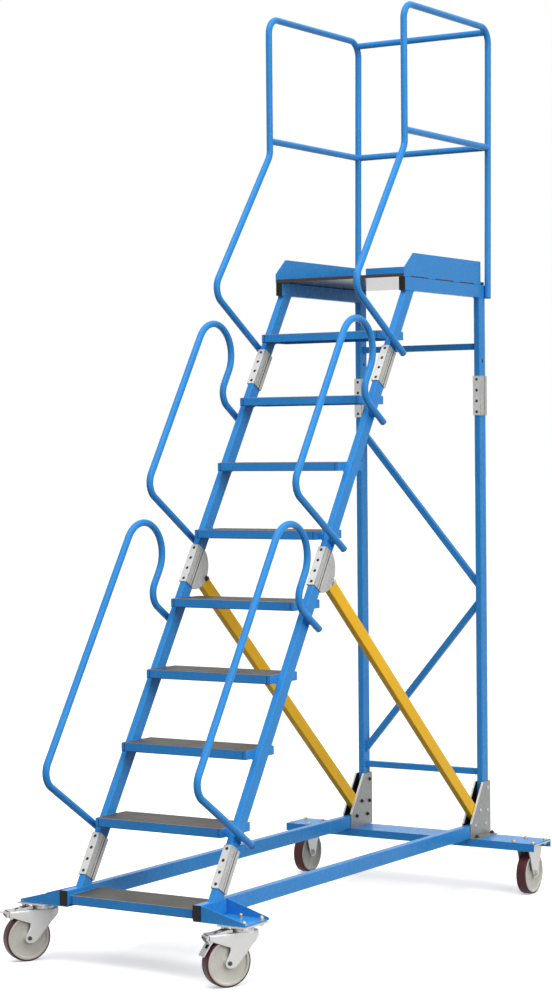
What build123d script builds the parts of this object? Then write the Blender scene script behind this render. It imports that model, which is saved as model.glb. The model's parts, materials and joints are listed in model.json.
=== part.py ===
from build123d import *
import math
import os

# Mobile platform ladder, in millimetres.
# X runs across the ladder, +Y from the bottom step to the rear posts, +Z up.
# Until the last step y = 0 is the nosing of the bottom step and z = 0 the floor.

# Stair
rise = 240.0
going = 155.0
tread_count = 9
first_tread_drop = 17.0
tread_depth = 175.0
tread_height = 30.0
tread_wall = 2.5
tread_board_t = 15.0
tread_ledge_w = 20.0
tread_ledge_t = 3.0

# Side frames: rectangular tubes behind the nosings, joined inside sleeves
stringer_inner = 256.0
tube_w = 25.0
tube_d = 50.0
tube_wall = 1.5
tube_corner = 3.0
nosing_to_stringer = 59.0
splice_above_tread = 107.0
splice_steps = [1, (tread_count + 1) // 2, tread_count - 1]
sleeve_length = 155.0
sleeve_t = 3.0
gusset_reach = 52.0
gusset_t = 3.0

# Base
rail_w = 30.0
rail_h = 50.0
rail_overhang = 11.0
cap_t = 3.0
cap_plug = 12.0
beam_inset = 14.0
beam_width = 150.0
beam_depth = 30.0
beam_t = 4.0
beam_half_length = 557.0
wing_t = 4.0
wing_tip_margin = 48.0
wing_tip_back = 84.0
wing_root_length = 157.0
wing_front_lip = 10.0
wing_rear_lip = 8.0

# Rear frame; the shares are heights of the diagonals' ends between beam and platform
post_splice_below = 383.0
cross_w = 20.0
cross_h = 25.0
upper_cross_below = 190.0
lower_cross_above = 245.0
diagonal_w = 25.0
diagonal_top_share = 0.75
diagonal_middle_share = 0.449
diagonal_low_share = 0.147
diagonal_gap = 74.0

# Base brackets and yellow struts
bracket_t = 4.0
bracket_length = 165.0
bracket_top_length = 63.0
bracket_low_h = 57.0
bracket_top_h = 209.0
bracket_foot_w = 32.0
strut_head_below = 6.0
strut_head_gap = 6.0
strut_foot_ahead = 77.0
strut_foot_above = 58.0

# Platform; the shares are where slots start and end along the toe board
platform_above_step = 205.0
platform_behind_nosing = 148.0
platform_length = 646.0
deck_t = 12.0
deck_overhang = 4.0
toe_board_t = 3.0
toe_board_h = 91.0
toe_overhang = 6.0
toe_notch_h = 33.0
toe_slope_length = 70.0
toe_rear_inset = 36.0
slot_h = 4.0
slot_shares = [(0.08, 0.30), (0.39, 0.625), (0.71, 0.91)]

# Round tube of handrails and guard rails
pipe_d = 25.0
pipe_wall = 1.5
pipe_bend = 60.0
handrail_gap = 10.5
saddle_d = 22.0
handrail_front = 334.0
handrail_names = ["lower", "upper"]
handrail_start_steps = [1, 5]
handrail_short_steps = [0, 1]
handrail_leg_above = 4.0
handrail_hook_width = 224.0
handrail_hook_flat = 2.0
handrail_hook_centre = 941.0
handrail_hook_leg = 824.0
handrail_tail = 25.0
guard_foot_gap = 5.0
guard_foot_front = 365.0
guard_foot_drop = 16.0
guard_kink_height = 485.0
guard_front_gap = 19.0
guard_rear_inset = 1.0
guard_lean_back = 18.0
guard_height = 1007.0
guard_mid_height = 540.0
guard_end_drop = 49.0
rear_rail_angle = 45.0
pipe_cap_t = 3.0

# Casters
wheel_d = 160.0
tyre_t = 6.0
tyre_w = 40.0
hub_w = 46.0
hub_d = 46.0
rim_t = 8.0
web_t = 12.0
axle_d = 12.0
axle_play = 0.05
plate_x = 110.0
plate_y = 135.0
plate_t = 5.0
bolt_x = 80.0
bolt_y = 105.0
bolt_hole_d = 9.0
swivel_out = 120.5
swivel_back = 61.0
swivel_offset = 60.0
swivel_heading = 60.0
fork_t = 3.0
fork_side_play = 0.5
fork_crown_gap = 8.0
fork_front_reach = 52.0
fork_rear_reach = 128.0
fork_fixed_reach = 57.0
fork_round = 4.0
fork_head_d = 76.0
fork_head_h = 19.5
race_d = 64.0
race_h = 3.5
race_gap = 1.0
kingpin_d = 20.0
axle_head_d = 22.0
axle_head_t = 6.0
brake_w = 48.0
brake_start = 44.0
brake_cover_h = 16.0
brake_slope = 30.0
brake_end = 150.0
brake_lip = 9.0
pedal_t = 3.0
pedal_rise = 13.0
pedal_reach = 50.0
pedal_drop = 62.0
pedal_out = 14.0

# Outlines of the fork cheeks: place along the wheel plane as a share of the reach
# behind the swivel or beside the axle, and height as a share of the crown's height
swivel_cheek_shares = [
    (1.0, 1.0), (1.0, 0.945), (0.42, 0.78), (0.45, 0.68), (0.585, 0.48),
    (0.56, 0.385), (0.46, 0.35), (0.33, 0.36), (-0.26, 0.77), (-0.40, 0.93), (-0.406, 1.0),
]
fixed_cheek_shares = [
    (-1.0, 1.0), (-0.94, 0.87), (-0.36, 0.40), (-0.20, 0.33),
    (0.20, 0.33), (0.36, 0.40), (0.94, 0.87), (1.0, 1.0),
]

overrun = 10.0

# Derived places
slope = math.atan2(rise, going)
along = Vector(0, math.cos(slope), math.sin(slope))
across = Vector(0, math.sin(slope), -math.cos(slope))
step_length = math.hypot(rise, going)
tube_x = stringer_inner + tube_w / 2
outer_x = stringer_inner + tube_w
crown_z = wheel_d + fork_crown_gap + fork_t
head_top_z = crown_z + fork_head_h
caster_h = head_top_z + race_gap + race_h + plate_t
rail_bottom_z = caster_h + beam_t
rail_top_z = rail_bottom_z + rail_h
first_tread_z = rail_top_z - first_tread_drop
last_tread_y = (tread_count - 1) * going
last_tread_z = first_tread_z + (tread_count - 1) * rise
rail_front_y = -rail_overhang
rail_outer_x = tube_x + rail_w / 2
rail_inner_x = tube_x - rail_w / 2
platform_front_y = last_tread_y + platform_behind_nosing
platform_beam_top_z = last_tread_z + platform_above_step
platform_beam_bottom_z = platform_beam_top_z - tube_d
post_rear_y = platform_front_y + platform_length
post_front_y = post_rear_y - tube_d
post_y = post_rear_y - tube_d / 2
post_splice_z = platform_beam_bottom_z - post_splice_below
beam_rear_y = post_rear_y - beam_inset
beam_y = beam_rear_y - beam_width / 2
beam_front_y = beam_rear_y - beam_width
swivel_x = rail_outer_x + swivel_out
swivel_y = rail_front_y + swivel_back
rear_caster_x = beam_half_length - plate_x / 2
pipe_x = outer_x + pipe_d / 2
handrail_x = pipe_x + handrail_gap
guard_foot_x = pipe_x + guard_foot_gap
fixed_crown_z = caster_h - plate_t
axis_offset = nosing_to_stringer * math.sin(slope) + tube_d / 2
sleeve_back_offset = axis_offset + tube_d / 2 + sleeve_t
wheel_r = wheel_d / 2
rim_d = wheel_d - 2 * tyre_t
fork_inner = hub_w + 2 * fork_side_play


def block(x, y, z):
    """A box between two values on each axis."""
    size = (x[1] - x[0], y[1] - y[0], z[1] - z[0])
    middle = ((x[0] + x[1]) / 2, (y[0] + y[1]) / 2, (z[0] + z[1]) / 2)
    return Pos(*middle) * Box(*size)


def mirrored(shape):
    """The same piece on the other side of the ladder."""
    return mirror(shape, Plane.YZ)


def pair(shape):
    """A piece and its mirror image, as two solids."""
    return Compound(children=[shape, mirrored(shape)])


def group(shapes):
    return Compound(children=list(shapes))


def slope_point(u, v):
    """A point u along the stair from the bottom nosing and v behind the nosing line."""
    return Vector(0, 0, first_tread_z) + along * u + across * v


def square_tube(start, end, width, depth, wall, side=Vector(1, 0, 0)):
    """A rectangular tube; width runs along side, depth square to it."""
    start, end = Vector(start), Vector(end)
    plane = Plane(origin=start, x_dir=side, z_dir=end - start)
    outer = RectangleRounded(width, depth, tube_corner)
    inner = RectangleRounded(width - 2 * wall, depth - 2 * wall, tube_corner - wall)
    return extrude(plane * (outer - inner), amount=(end - start).length)


def plate_profile(points, x, thickness):
    """A flat plate cut to points in Y and Z, its inner face at x."""
    face = make_face(Polyline(*[(x, y, z) for y, z in points], close=True))
    return extrude(face, amount=thickness, dir=(1, 0, 0))


def rounded_profile(points, x, thickness, radius):
    """A flat plate as plate_profile gives, with all its corners rounded."""
    outline = FilletPolyline(*[(x, y, z) for y, z in points], radius=radius, close=True)
    return extrude(make_face(outline), amount=thickness, dir=(1, 0, 0))


def bent_bar(points, radii, radius):
    """A round bar along straight runs joined by bends."""
    path = FilletPolyline(*points, radius=radii)
    plane = Plane(origin=path @ 0, z_dir=path % 0)
    return sweep(plane * Circle(radius), path=path)


def bent_pipe(points, radii):
    """A round tube along straight runs joined by bends."""
    outer = bent_bar(points, radii, pipe_d / 2)
    return outer - bent_bar(points, radii, pipe_d / 2 - pipe_wall)


def straight_pipe(start, end):
    start, end = Vector(start), Vector(end)
    plane = Plane(origin=start, z_dir=end - start)
    ring = Circle(pipe_d / 2) - Circle(pipe_d / 2 - pipe_wall)
    return extrude(plane * ring, amount=(end - start).length)


def pipe_plug(end, direction):
    """A thin black plug on a tube's end."""
    plane = Plane(origin=Vector(end), z_dir=direction)
    return extrude(plane * Circle(pipe_d / 2), amount=pipe_cap_t)


def at_x(point, x):
    return (x, point.Y, point.Z)


def saddle(u, x, rail_solid):
    """A round spacer between the stringer and a tube that crosses it."""
    seat = slope_point(u, axis_offset)
    length = x - outer_x
    spacer = Pos(outer_x + length / 2, seat.Y, seat.Z) * Cylinder(
        saddle_d / 2, length, rotation=(0, 90, 0)
    )
    return spacer - rail_solid


parts = {}

# Steps: a folded frame with a plywood board in it
frames = []
boards = []
for i in range(tread_count):
    half = rail_inner_x if i == 0 else stringer_inner
    y0 = i * going
    top = first_tread_z + i * rise
    low = top - tread_height
    outer = block((-half, half), (y0, y0 + tread_depth), (low, top))
    hollow = block(
        (-half + tread_wall, half - tread_wall),
        (y0 + tread_wall, y0 + tread_depth - tread_wall),
        (low - overrun, top + overrun),
    )
    ledges = [
        block(
            (-half + tread_wall, half - tread_wall),
            (y, y + tread_ledge_w),
            (top - tread_board_t - tread_ledge_t, top - tread_board_t),
        )
        for y in (y0 + tread_wall, y0 + tread_depth - tread_wall - tread_ledge_w)
    ]
    frames.append((outer - hollow) + ledges)
    boards.append(block(
        (-half + tread_wall, half - tread_wall),
        (y0 + tread_wall, y0 + tread_depth - tread_wall),
        (top - tread_board_t, top),
    ))
parts["step_frames"] = group(frames)
parts["step_boards"] = group(boards)


# Stringers, in lengths that meet inside the sleeves
def splice_u(step):
    """How far along the stair a sleeve is centred, by the tread below it."""
    centre_z = (step - 1) * rise + splice_above_tread
    return centre_z / math.sin(slope) + axis_offset / math.tan(slope)


def stringer_length(u0, u1):
    return square_tube(
        at_x(slope_point(u0, axis_offset), tube_x),
        at_x(slope_point(u1, axis_offset), tube_x),
        tube_w, tube_d, tube_wall,
    )


splices = [splice_u(s) for s in splice_steps]
stub_raw = stringer_length(splices[0] - 2 * step_length, splices[0])
stub = stub_raw & block((0, outer_x + overrun), (-rise, going * 2), (rail_top_z, rise * 3))
top_raw = stringer_length(splices[2], splices[2] + 2 * step_length)
top_room = block(
    (0, outer_x + overrun),
    (0, post_rear_y),
    (0, platform_beam_bottom_z),
)
parts["stringer_stubs"] = pair(stub)
parts["stringers_lower"] = pair(stringer_length(splices[0], splices[1]))
parts["stringers_middle"] = pair(stringer_length(splices[1], splices[2]))
parts["stringers_upper"] = pair(top_raw & top_room)


# Sleeves that wrap the joints of the stringers
def sleeve(start, end):
    """A folded sleeve that wraps a tube."""
    start, end = Vector(start), Vector(end)
    plane = Plane(origin=start, x_dir=(1, 0, 0), z_dir=end - start)
    outer = RectangleRounded(
        tube_w + 2 * sleeve_t, tube_d + 2 * sleeve_t, tube_corner + sleeve_t
    )
    inner = RectangleRounded(tube_w, tube_d, tube_corner)
    return extrude(plane * (outer - inner), amount=(end - start).length)


def stringer_sleeve(u):
    return sleeve(
        at_x(slope_point(u - sleeve_length / 2, axis_offset), tube_x),
        at_x(slope_point(u + sleeve_length / 2, axis_offset), tube_x),
    )


def gusset_pair(u):
    """Two half round cheeks behind the middle sleeve that hold the strut."""
    a = slope_point(u - sleeve_length / 2, sleeve_back_offset)
    b = slope_point(u + sleeve_length / 2, sleeve_back_offset)
    tip = slope_point(u, sleeve_back_offset + gusset_reach)
    cheeks = []
    for x in (tube_x - tube_w / 2 - sleeve_t, tube_x + tube_w / 2):
        arc = ThreePointArc(at_x(a, x), at_x(tip, x), at_x(b, x))
        chord = Line(at_x(b, x), at_x(a, x))
        face = make_face(Wire([arc, chord]))
        cheeks.append(extrude(face, amount=gusset_t, dir=(1, 0, 0)))
    return cheeks


parts["sleeves_lower"] = pair(stringer_sleeve(splices[0]))
middle_sleeve = stringer_sleeve(splices[1]) + gusset_pair(splices[1])
parts["sleeves_middle"] = pair(middle_sleeve)
parts["sleeves_upper"] = pair(stringer_sleeve(splices[2]))

# Base rails, wings that carry the front casters, and the rear beam
rail = square_tube(
    (tube_x, rail_front_y, rail_bottom_z + rail_h / 2),
    (tube_x, post_front_y, rail_bottom_z + rail_h / 2),
    rail_w, rail_h, tube_wall,
)
parts["base_rails"] = pair(rail)

wing_tip_x = swivel_x + wing_tip_margin
wing_tip_y = swivel_y + wing_tip_back
wing_rear_y = rail_front_y + wing_root_length
wing_plate = extrude(
    make_face(Polyline(
        (rail_outer_x, rail_front_y, caster_h),
        (wing_tip_x, rail_front_y, caster_h),
        (wing_tip_x, wing_tip_y, caster_h),
        (rail_outer_x, wing_rear_y, caster_h),
        close=True,
    )),
    amount=wing_t, dir=(0, 0, 1),
)
plate_tab = block(
    (rail_inner_x, rail_outer_x), (rail_front_y, wing_rear_y), (caster_h, rail_bottom_z)
)
front_flange = extrude(
    make_face(Polyline(
        (rail_outer_x, rail_front_y, caster_h),
        (wing_tip_x, rail_front_y, caster_h),
        (wing_tip_x, rail_front_y, caster_h + wing_front_lip),
        (rail_outer_x, rail_front_y, rail_top_z),
        close=True,
    )),
    amount=wing_t, dir=(0, 1, 0),
)
rear_flange_face = make_face(Polyline(
    (rail_outer_x, wing_rear_y, caster_h),
    (wing_tip_x, wing_tip_y, caster_h),
    (wing_tip_x, wing_tip_y, caster_h + wing_rear_lip),
    (rail_outer_x, wing_rear_y, rail_top_z),
    close=True,
))
rear_flange = extrude(rear_flange_face, amount=wing_t, dir=(0, -1, 0))
wing = wing_plate + plate_tab + front_flange + rear_flange
caster_holes = [
    Pos(x, y, caster_h) * Cylinder(bolt_hole_d / 2, 2 * (wing_t + overrun))
    for x in (swivel_x - bolt_x / 2, swivel_x + bolt_x / 2)
    for y in (swivel_y - bolt_y / 2, swivel_y + bolt_y / 2)
]
wing = wing - caster_holes
parts["front_wing_right"] = wing
parts["front_wing_left"] = mirrored(wing)

beam_x = (-beam_half_length, beam_half_length)
beam = block(beam_x, (beam_front_y, beam_rear_y), (rail_bottom_z - beam_depth, rail_bottom_z))
beam = beam - block(
    (-beam_half_length - overrun, beam_half_length + overrun),
    (beam_front_y + beam_t, beam_rear_y - beam_t),
    (rail_bottom_z - beam_depth - overrun, rail_bottom_z - beam_t),
)
beam = beam - [
    Pos(side * rear_caster_x + x, beam_y + y, caster_h)
    * Cylinder(bolt_hole_d / 2, 2 * (beam_t + overrun))
    for side in (-1, 1)
    for x in (-bolt_x / 2, bolt_x / 2)
    for y in (-bolt_y / 2, bolt_y / 2)
]
parts["rear_beam"] = beam

# Rear posts with their sleeves, cross rails and diagonals
post_low = square_tube(
    (tube_x, post_y, rail_bottom_z), (tube_x, post_y, post_splice_z), tube_w, tube_d, tube_wall
)
post_high = square_tube(
    (tube_x, post_y, post_splice_z), (tube_x, post_y, platform_beam_bottom_z),
    tube_w, tube_d, tube_wall,
)
parts["rear_posts_lower"] = pair(post_low)
parts["rear_posts_upper"] = pair(post_high)
parts["post_sleeves"] = pair(sleeve(
    (tube_x, post_y, post_splice_z - sleeve_length / 2),
    (tube_x, post_y, post_splice_z + sleeve_length / 2),
))
parts["cross_rails"] = group(
    square_tube(
        (-stringer_inner, post_y, z), (stringer_inner, post_y, z),
        cross_w, cross_h, tube_wall, side=Vector(0, 1, 0),
    )
    for z in (platform_beam_bottom_z - upper_cross_below, rail_bottom_z + lower_cross_above)
)


def diagonal(x0, z0, x1, z1):
    """A diagonal between the posts, its ends cut to the posts' faces."""
    start = Vector(x0, post_y, z0)
    end = Vector(x1, post_y, z1)
    reach = (end - start).normalized() * diagonal_w
    raw = square_tube(
        start - reach, end + reach, cross_w, diagonal_w, tube_wall, side=Vector(0, 1, 0)
    )
    room = block(
        (-stringer_inner, stringer_inner), (post_front_y, post_rear_y), (0, platform_beam_top_z)
    )
    return raw & room


post_height = platform_beam_bottom_z - rail_bottom_z
diagonal_top_z = rail_bottom_z + post_height * diagonal_top_share
diagonal_middle_z = rail_bottom_z + post_height * diagonal_middle_share
diagonal_low_z = rail_bottom_z + post_height * diagonal_low_share
upper_end_z = diagonal_middle_z + diagonal_gap / 2
lower_end_z = diagonal_middle_z - diagonal_gap / 2
parts["diagonals"] = group([
    diagonal(-stringer_inner, diagonal_top_z, stringer_inner, upper_end_z),
    diagonal(stringer_inner, lower_end_z, -stringer_inner, diagonal_low_z),
])

# Base brackets: two cheeks on a foot, around the post and the end of the rail
bracket_front_y = post_rear_y - bracket_length
bracket_top_front_y = post_rear_y - bracket_top_length
cheek_points = [
    (bracket_front_y, rail_bottom_z),
    (post_rear_y, rail_bottom_z),
    (post_rear_y, rail_bottom_z + bracket_top_h),
    (bracket_top_front_y, rail_bottom_z + bracket_top_h),
    (bracket_front_y, rail_bottom_z + bracket_low_h),
]
cheek_out = plate_profile(cheek_points, rail_outer_x, bracket_t)
cheek_in = plate_profile(cheek_points, rail_inner_x - bracket_t, bracket_t)
foot = block(
    (rail_outer_x, rail_outer_x + bracket_t + bracket_foot_w),
    (bracket_front_y, post_rear_y),
    (rail_bottom_z, rail_bottom_z + bracket_t),
)
back = block(
    (rail_inner_x - bracket_t, rail_outer_x + bracket_t),
    (post_rear_y, post_rear_y + bracket_t),
    (rail_bottom_z, rail_bottom_z + bracket_top_h),
)
parts["base_brackets"] = pair(cheek_out + cheek_in + foot + back)

# Struts from the gussets down to the feet of the posts
strut_head = slope_point(splices[1] - strut_head_below, sleeve_back_offset + strut_head_gap)
strut_start = Vector(tube_x, strut_head.Y, strut_head.Z)
strut_foot = Vector(
    tube_x, post_front_y - strut_foot_ahead, rail_top_z + strut_foot_above
)
strut_dir = (strut_foot - strut_start).normalized()
strut_end = strut_foot + strut_dir * bracket_length
strut_raw = square_tube(strut_start, strut_end, tube_w, tube_d, tube_wall)
strut_room = block(
    (0, rail_outer_x), (0, post_front_y), (rail_top_z, platform_beam_top_z)
)
parts["struts"] = pair(strut_raw & strut_room)

# Platform
platform_beam = square_tube(
    (tube_x, platform_front_y, platform_beam_top_z - tube_d / 2),
    (tube_x, post_rear_y, platform_beam_top_z - tube_d / 2),
    tube_w, tube_d, tube_wall,
)
parts["platform_beams"] = pair(platform_beam)
toe_front_y = platform_front_y - toe_overhang
toe_apex_y = toe_front_y + toe_slope_length
toe_rear_y = post_rear_y - toe_rear_inset
toe_board_top_z = platform_beam_top_z + toe_board_h
toe_notch_z = platform_beam_top_z + toe_notch_h
toe_length = toe_rear_y - toe_front_y
toe_points = [
    (toe_front_y, platform_beam_top_z),
    (toe_rear_y, platform_beam_top_z),
    (toe_rear_y, toe_board_top_z),
    (toe_apex_y, toe_board_top_z),
    (toe_front_y, toe_notch_z),
]
toe_side = plate_profile(toe_points, outer_x - toe_board_t, toe_board_t)
toe_side = toe_side - [
    block(
        (outer_x - toe_board_t - overrun, outer_x + overrun),
        (toe_front_y + toe_length * start_share, toe_front_y + toe_length * end_share),
        (platform_beam_top_z - slot_h, platform_beam_top_z + slot_h),
    )
    for start_share, end_share in slot_shares
]
parts["toe_board_right"] = toe_side
parts["toe_board_left"] = mirrored(toe_side)
parts["toe_board_rear"] = block(
    (-stringer_inner, stringer_inner),
    (post_rear_y - toe_board_t, post_rear_y),
    (platform_beam_top_z, toe_board_top_z),
)
deck_half = outer_x - toe_board_t
deck_front_y = platform_front_y - deck_overhang
parts["deck"] = block(
    (-deck_half, deck_half),
    (deck_front_y, post_rear_y - toe_board_t),
    (platform_beam_top_z, platform_beam_top_z + deck_t),
)


# Black end caps of the base rails and the platform beams
def end_cap(x, y, z, width, height):
    head = block(
        (x - width / 2, x + width / 2), (y - cap_t, y), (z - height / 2, z + height / 2)
    )
    plane = Plane(origin=(x, y, z), x_dir=(1, 0, 0), z_dir=(0, 1, 0))
    bore = RectangleRounded(width - 2 * tube_wall, height - 2 * tube_wall, tube_corner - tube_wall)
    return head + extrude(plane * bore, amount=cap_plug)


caps = [
    end_cap(tube_x, rail_front_y, rail_bottom_z + rail_h / 2, rail_w, rail_h),
    end_cap(tube_x, platform_front_y, platform_beam_top_z - tube_d / 2, tube_w, tube_d),
]
parts["end_caps"] = group(caps + [mirrored(c) for c in caps])


# Handrails: a long grip with a rounded hook at its top, both ends held off the stringer
def handrail(step, shortened):
    """One handrail, its two spacers and its two plugs."""
    foot_u = step * step_length + handrail_leg_above
    hook_u = (step - shortened) * step_length + handrail_hook_centre
    leg_u = (step - shortened) * step_length + handrail_hook_leg
    hook_bend = (handrail_hook_width - handrail_hook_flat) / 2
    front_v = -handrail_front * math.sin(slope)
    back_v = front_v + handrail_hook_width
    end_v = axis_offset + tube_d / 2 + handrail_tail
    route = [
        (foot_u, end_v),
        (foot_u, front_v),
        (hook_u + hook_bend, front_v),
        (hook_u + hook_bend, back_v),
        (leg_u, back_v),
        (leg_u, end_v),
    ]
    points = [at_x(slope_point(u, v), handrail_x) for u, v in route]
    bends = [pipe_bend, hook_bend, hook_bend, pipe_bend]
    solid = bent_bar(points, bends, pipe_d / 2)
    spacers = [saddle(u, handrail_x, solid) for u in (foot_u, leg_u)]
    plugs = [pipe_plug(end, across) for end in (points[0], points[-1])]
    return bent_pipe(points, bends), spacers, plugs


saddles = []
plugs = []
for level, step, shortened in zip(handrail_names, handrail_start_steps, handrail_short_steps):
    handrail_shape, spacers, ends = handrail(step, shortened)
    parts[f"handrail_{level}_right"] = handrail_shape
    parts[f"handrail_{level}_left"] = mirrored(handrail_shape)
    saddles += spacers
    plugs += ends

# Guard rails: one bent tube each side, from the stringer over the platform
guard_post_y = platform_front_y - guard_front_gap
guard_foot_y = post_rear_y - guard_rear_inset
guard_back_y = guard_foot_y + guard_lean_back
guard_top_z = platform_beam_top_z + guard_height
guard_mid_z = platform_beam_top_z + guard_mid_height
guard_end_z = platform_beam_top_z - guard_end_drop
guard_u = (tread_count - 1) * step_length - guard_foot_drop
guard_start = slope_point(guard_u, axis_offset + tube_d / 2 + handrail_tail)
guard_corner = slope_point(guard_u, -guard_foot_front * math.sin(slope))
guard_points = [
    at_x(guard_start, guard_foot_x),
    at_x(guard_corner, guard_foot_x),
    (pipe_x, guard_post_y, platform_beam_top_z + guard_kink_height),
    (pipe_x, guard_post_y, guard_top_z),
    (pipe_x, guard_back_y, guard_top_z),
    (pipe_x, guard_foot_y, guard_end_z),
]
guard_bends = [pipe_bend] * (len(guard_points) - 2)
guard = bent_pipe(guard_points, guard_bends)
guard_solid = bent_bar(guard_points, guard_bends, pipe_d / 2)
parts["guard_rail_right"] = guard
parts["guard_rail_left"] = mirrored(guard)
saddles.append(saddle(guard_u, guard_foot_x, guard_solid))
mid_share = (guard_mid_z - guard_end_z) / (guard_top_z - guard_end_z)
rear_mid_y = guard_foot_y + guard_lean_back * mid_share
rear_mid_bar = Pos(0, rear_mid_y, guard_mid_z) * Cylinder(
    pipe_d / 2, 2 * pipe_x, rotation=(0, 90, 0)
)
mid_rail = straight_pipe(
    (pipe_x, guard_post_y, guard_mid_z), (pipe_x, rear_mid_y, guard_mid_z)
) - guard_solid - rear_mid_bar
parts["guard_mid_rails"] = pair(mid_rail)


def rear_guard(y, z):
    """A rail across the back, its ends cut to the side tubes."""
    return straight_pipe((-pipe_x, y, z), (pipe_x, y, z)) - guard_solid - mirrored(guard_solid)


rear_top_y = guard_back_y - pipe_bend * (1 - math.cos(math.radians(rear_rail_angle)))
rear_top_z = guard_top_z - pipe_bend * (1 - math.sin(math.radians(rear_rail_angle)))
parts["guard_rear_rails"] = group([
    rear_guard(rear_top_y, rear_top_z), rear_guard(rear_mid_y, guard_mid_z)
])
guard_tail = Vector(*guard_points[-1]) - Vector(*guard_points[-2])
plugs.append(pipe_plug(guard_points[0], across))
plugs.append(pipe_plug(guard_points[-1], guard_tail))
parts["pipe_caps"] = group(plugs + [mirrored(plug) for plug in plugs])
parts["handrail_saddles"] = group(saddles + [mirrored(spacer) for spacer in saddles])


# Casters, built with the wheel trailing along -Y at the origin's floor point
def wheel_core(y):
    core = Cylinder(hub_d / 2, hub_w, rotation=(0, 90, 0))
    rim = Cylinder(rim_d / 2, tyre_w, rotation=(0, 90, 0))
    rim = rim - Cylinder(rim_d / 2 - rim_t, tyre_w + overrun, rotation=(0, 90, 0))
    web = Cylinder(rim_d / 2 - rim_t / 2, web_t, rotation=(0, 90, 0))
    bore = Cylinder(axle_d / 2 + axle_play, hub_w + overrun, rotation=(0, 90, 0))
    return Pos(0, y, wheel_r) * ((core + rim + web) - bore)


def wheel_tyre(y):
    tyre = Cylinder(wheel_r, tyre_w, rotation=(0, 90, 0))
    tyre = fillet(tyre.edges(), tyre_t / 2)
    hollow = Cylinder(rim_d / 2, tyre_w + overrun, rotation=(0, 90, 0))
    return Pos(0, y, wheel_r) * (tyre - hollow)


def axle(y):
    pin = Cylinder(axle_d / 2, fork_inner + 2 * fork_t, rotation=(0, 90, 0))
    head_x = fork_inner / 2 + fork_t + axle_head_t / 2
    heads = [
        Pos(side * head_x, 0, 0) * Cylinder(axle_head_d / 2, axle_head_t, rotation=(0, 90, 0))
        for side in (-1, 1)
    ]
    return Pos(0, y, wheel_r) * (pin + heads)


def fork_cheeks(shares, reach, top):
    """Two pressed cheeks on either side of the wheel, their tops at one height."""
    points = [(along_share * reach, height_share * top) for along_share, height_share in shares]
    return [
        rounded_profile(points, x, fork_t, fork_round)
        for x in (-fork_inner / 2 - fork_t, fork_inner / 2)
    ]


def swivel_fork():
    cheeks = fork_cheeks(swivel_cheek_shares, -fork_rear_reach, crown_z)
    crown = block(
        (-fork_inner / 2, fork_inner / 2),
        (-fork_rear_reach + fork_round, fork_front_reach - fork_round),
        (crown_z - fork_t, crown_z),
    )
    head = Pos(0, 0, (crown_z + head_top_z) / 2) * Cylinder(fork_head_d / 2, head_top_z - crown_z)
    bore = Pos(0, 0, (wheel_d + caster_h) / 2) * Cylinder(
        kingpin_d / 2 + axle_play, caster_h - wheel_d
    )
    body = (cheeks[0] + cheeks[1] + crown + head) - bore
    return body + axle(-swivel_offset)


def swivel_plate():
    plate = Pos(0, 0, caster_h - plate_t / 2) * Box(plate_x, plate_y, plate_t)
    plate = plate - [
        Pos(x, y, caster_h) * Cylinder(bolt_hole_d / 2, 2 * (plate_t + overrun))
        for x in (-bolt_x / 2, bolt_x / 2)
        for y in (-bolt_y / 2, bolt_y / 2)
    ]
    race = Pos(0, 0, caster_h - plate_t - race_h / 2) * Cylinder(race_d / 2, race_h)
    pin_low = crown_z - fork_t
    pin = Pos(0, 0, (pin_low + caster_h - plate_t) / 2) * Cylinder(
        kingpin_d / 2, caster_h - plate_t - pin_low
    )
    return plate + race + pin


def brake(pressed):
    """The cover behind the fork's head and its pedal, hanging if it is pressed."""
    cover_top = crown_z + brake_cover_h
    cover = plate_profile(
        [
            (-brake_start, crown_z),
            (-brake_start, cover_top),
            (-brake_end + brake_slope, cover_top),
            (-brake_end, cover_top - brake_lip),
            (-brake_end, crown_z - brake_lip),
            (-fork_rear_reach, crown_z - brake_lip),
            (-fork_rear_reach, crown_z),
        ],
        -brake_w / 2, brake_w,
    )
    hinge_z = cover_top - brake_lip
    if pressed:
        outline = [
            (-brake_end, hinge_z),
            (-brake_end - pedal_out, hinge_z - pedal_t),
            (-brake_end - pedal_out, hinge_z - pedal_drop),
            (-brake_end - pedal_out + pedal_t, hinge_z - pedal_drop),
            (-brake_end - pedal_out + pedal_t, hinge_z - 2 * pedal_t),
            (-brake_end, hinge_z - pedal_t),
        ]
    else:
        outline = [
            (-brake_end, hinge_z),
            (-brake_end - pedal_reach, hinge_z + pedal_rise),
            (-brake_end - pedal_reach, hinge_z + pedal_rise - pedal_t),
            (-brake_end, hinge_z - pedal_t),
        ]
    return cover + plate_profile(outline, -brake_w / 2, brake_w)


def fixed_fork():
    plate = Pos(0, 0, caster_h - plate_t / 2) * Box(plate_x, plate_y, plate_t)
    plate = plate - [
        Pos(x, y, caster_h) * Cylinder(bolt_hole_d / 2, 2 * (plate_t + overrun))
        for x in (-bolt_x / 2, bolt_x / 2)
        for y in (-bolt_y / 2, bolt_y / 2)
    ]
    cheeks = fork_cheeks(fixed_cheek_shares, fork_fixed_reach, fixed_crown_z)
    return plate + cheeks[0] + cheeks[1] + axle(0)


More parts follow.
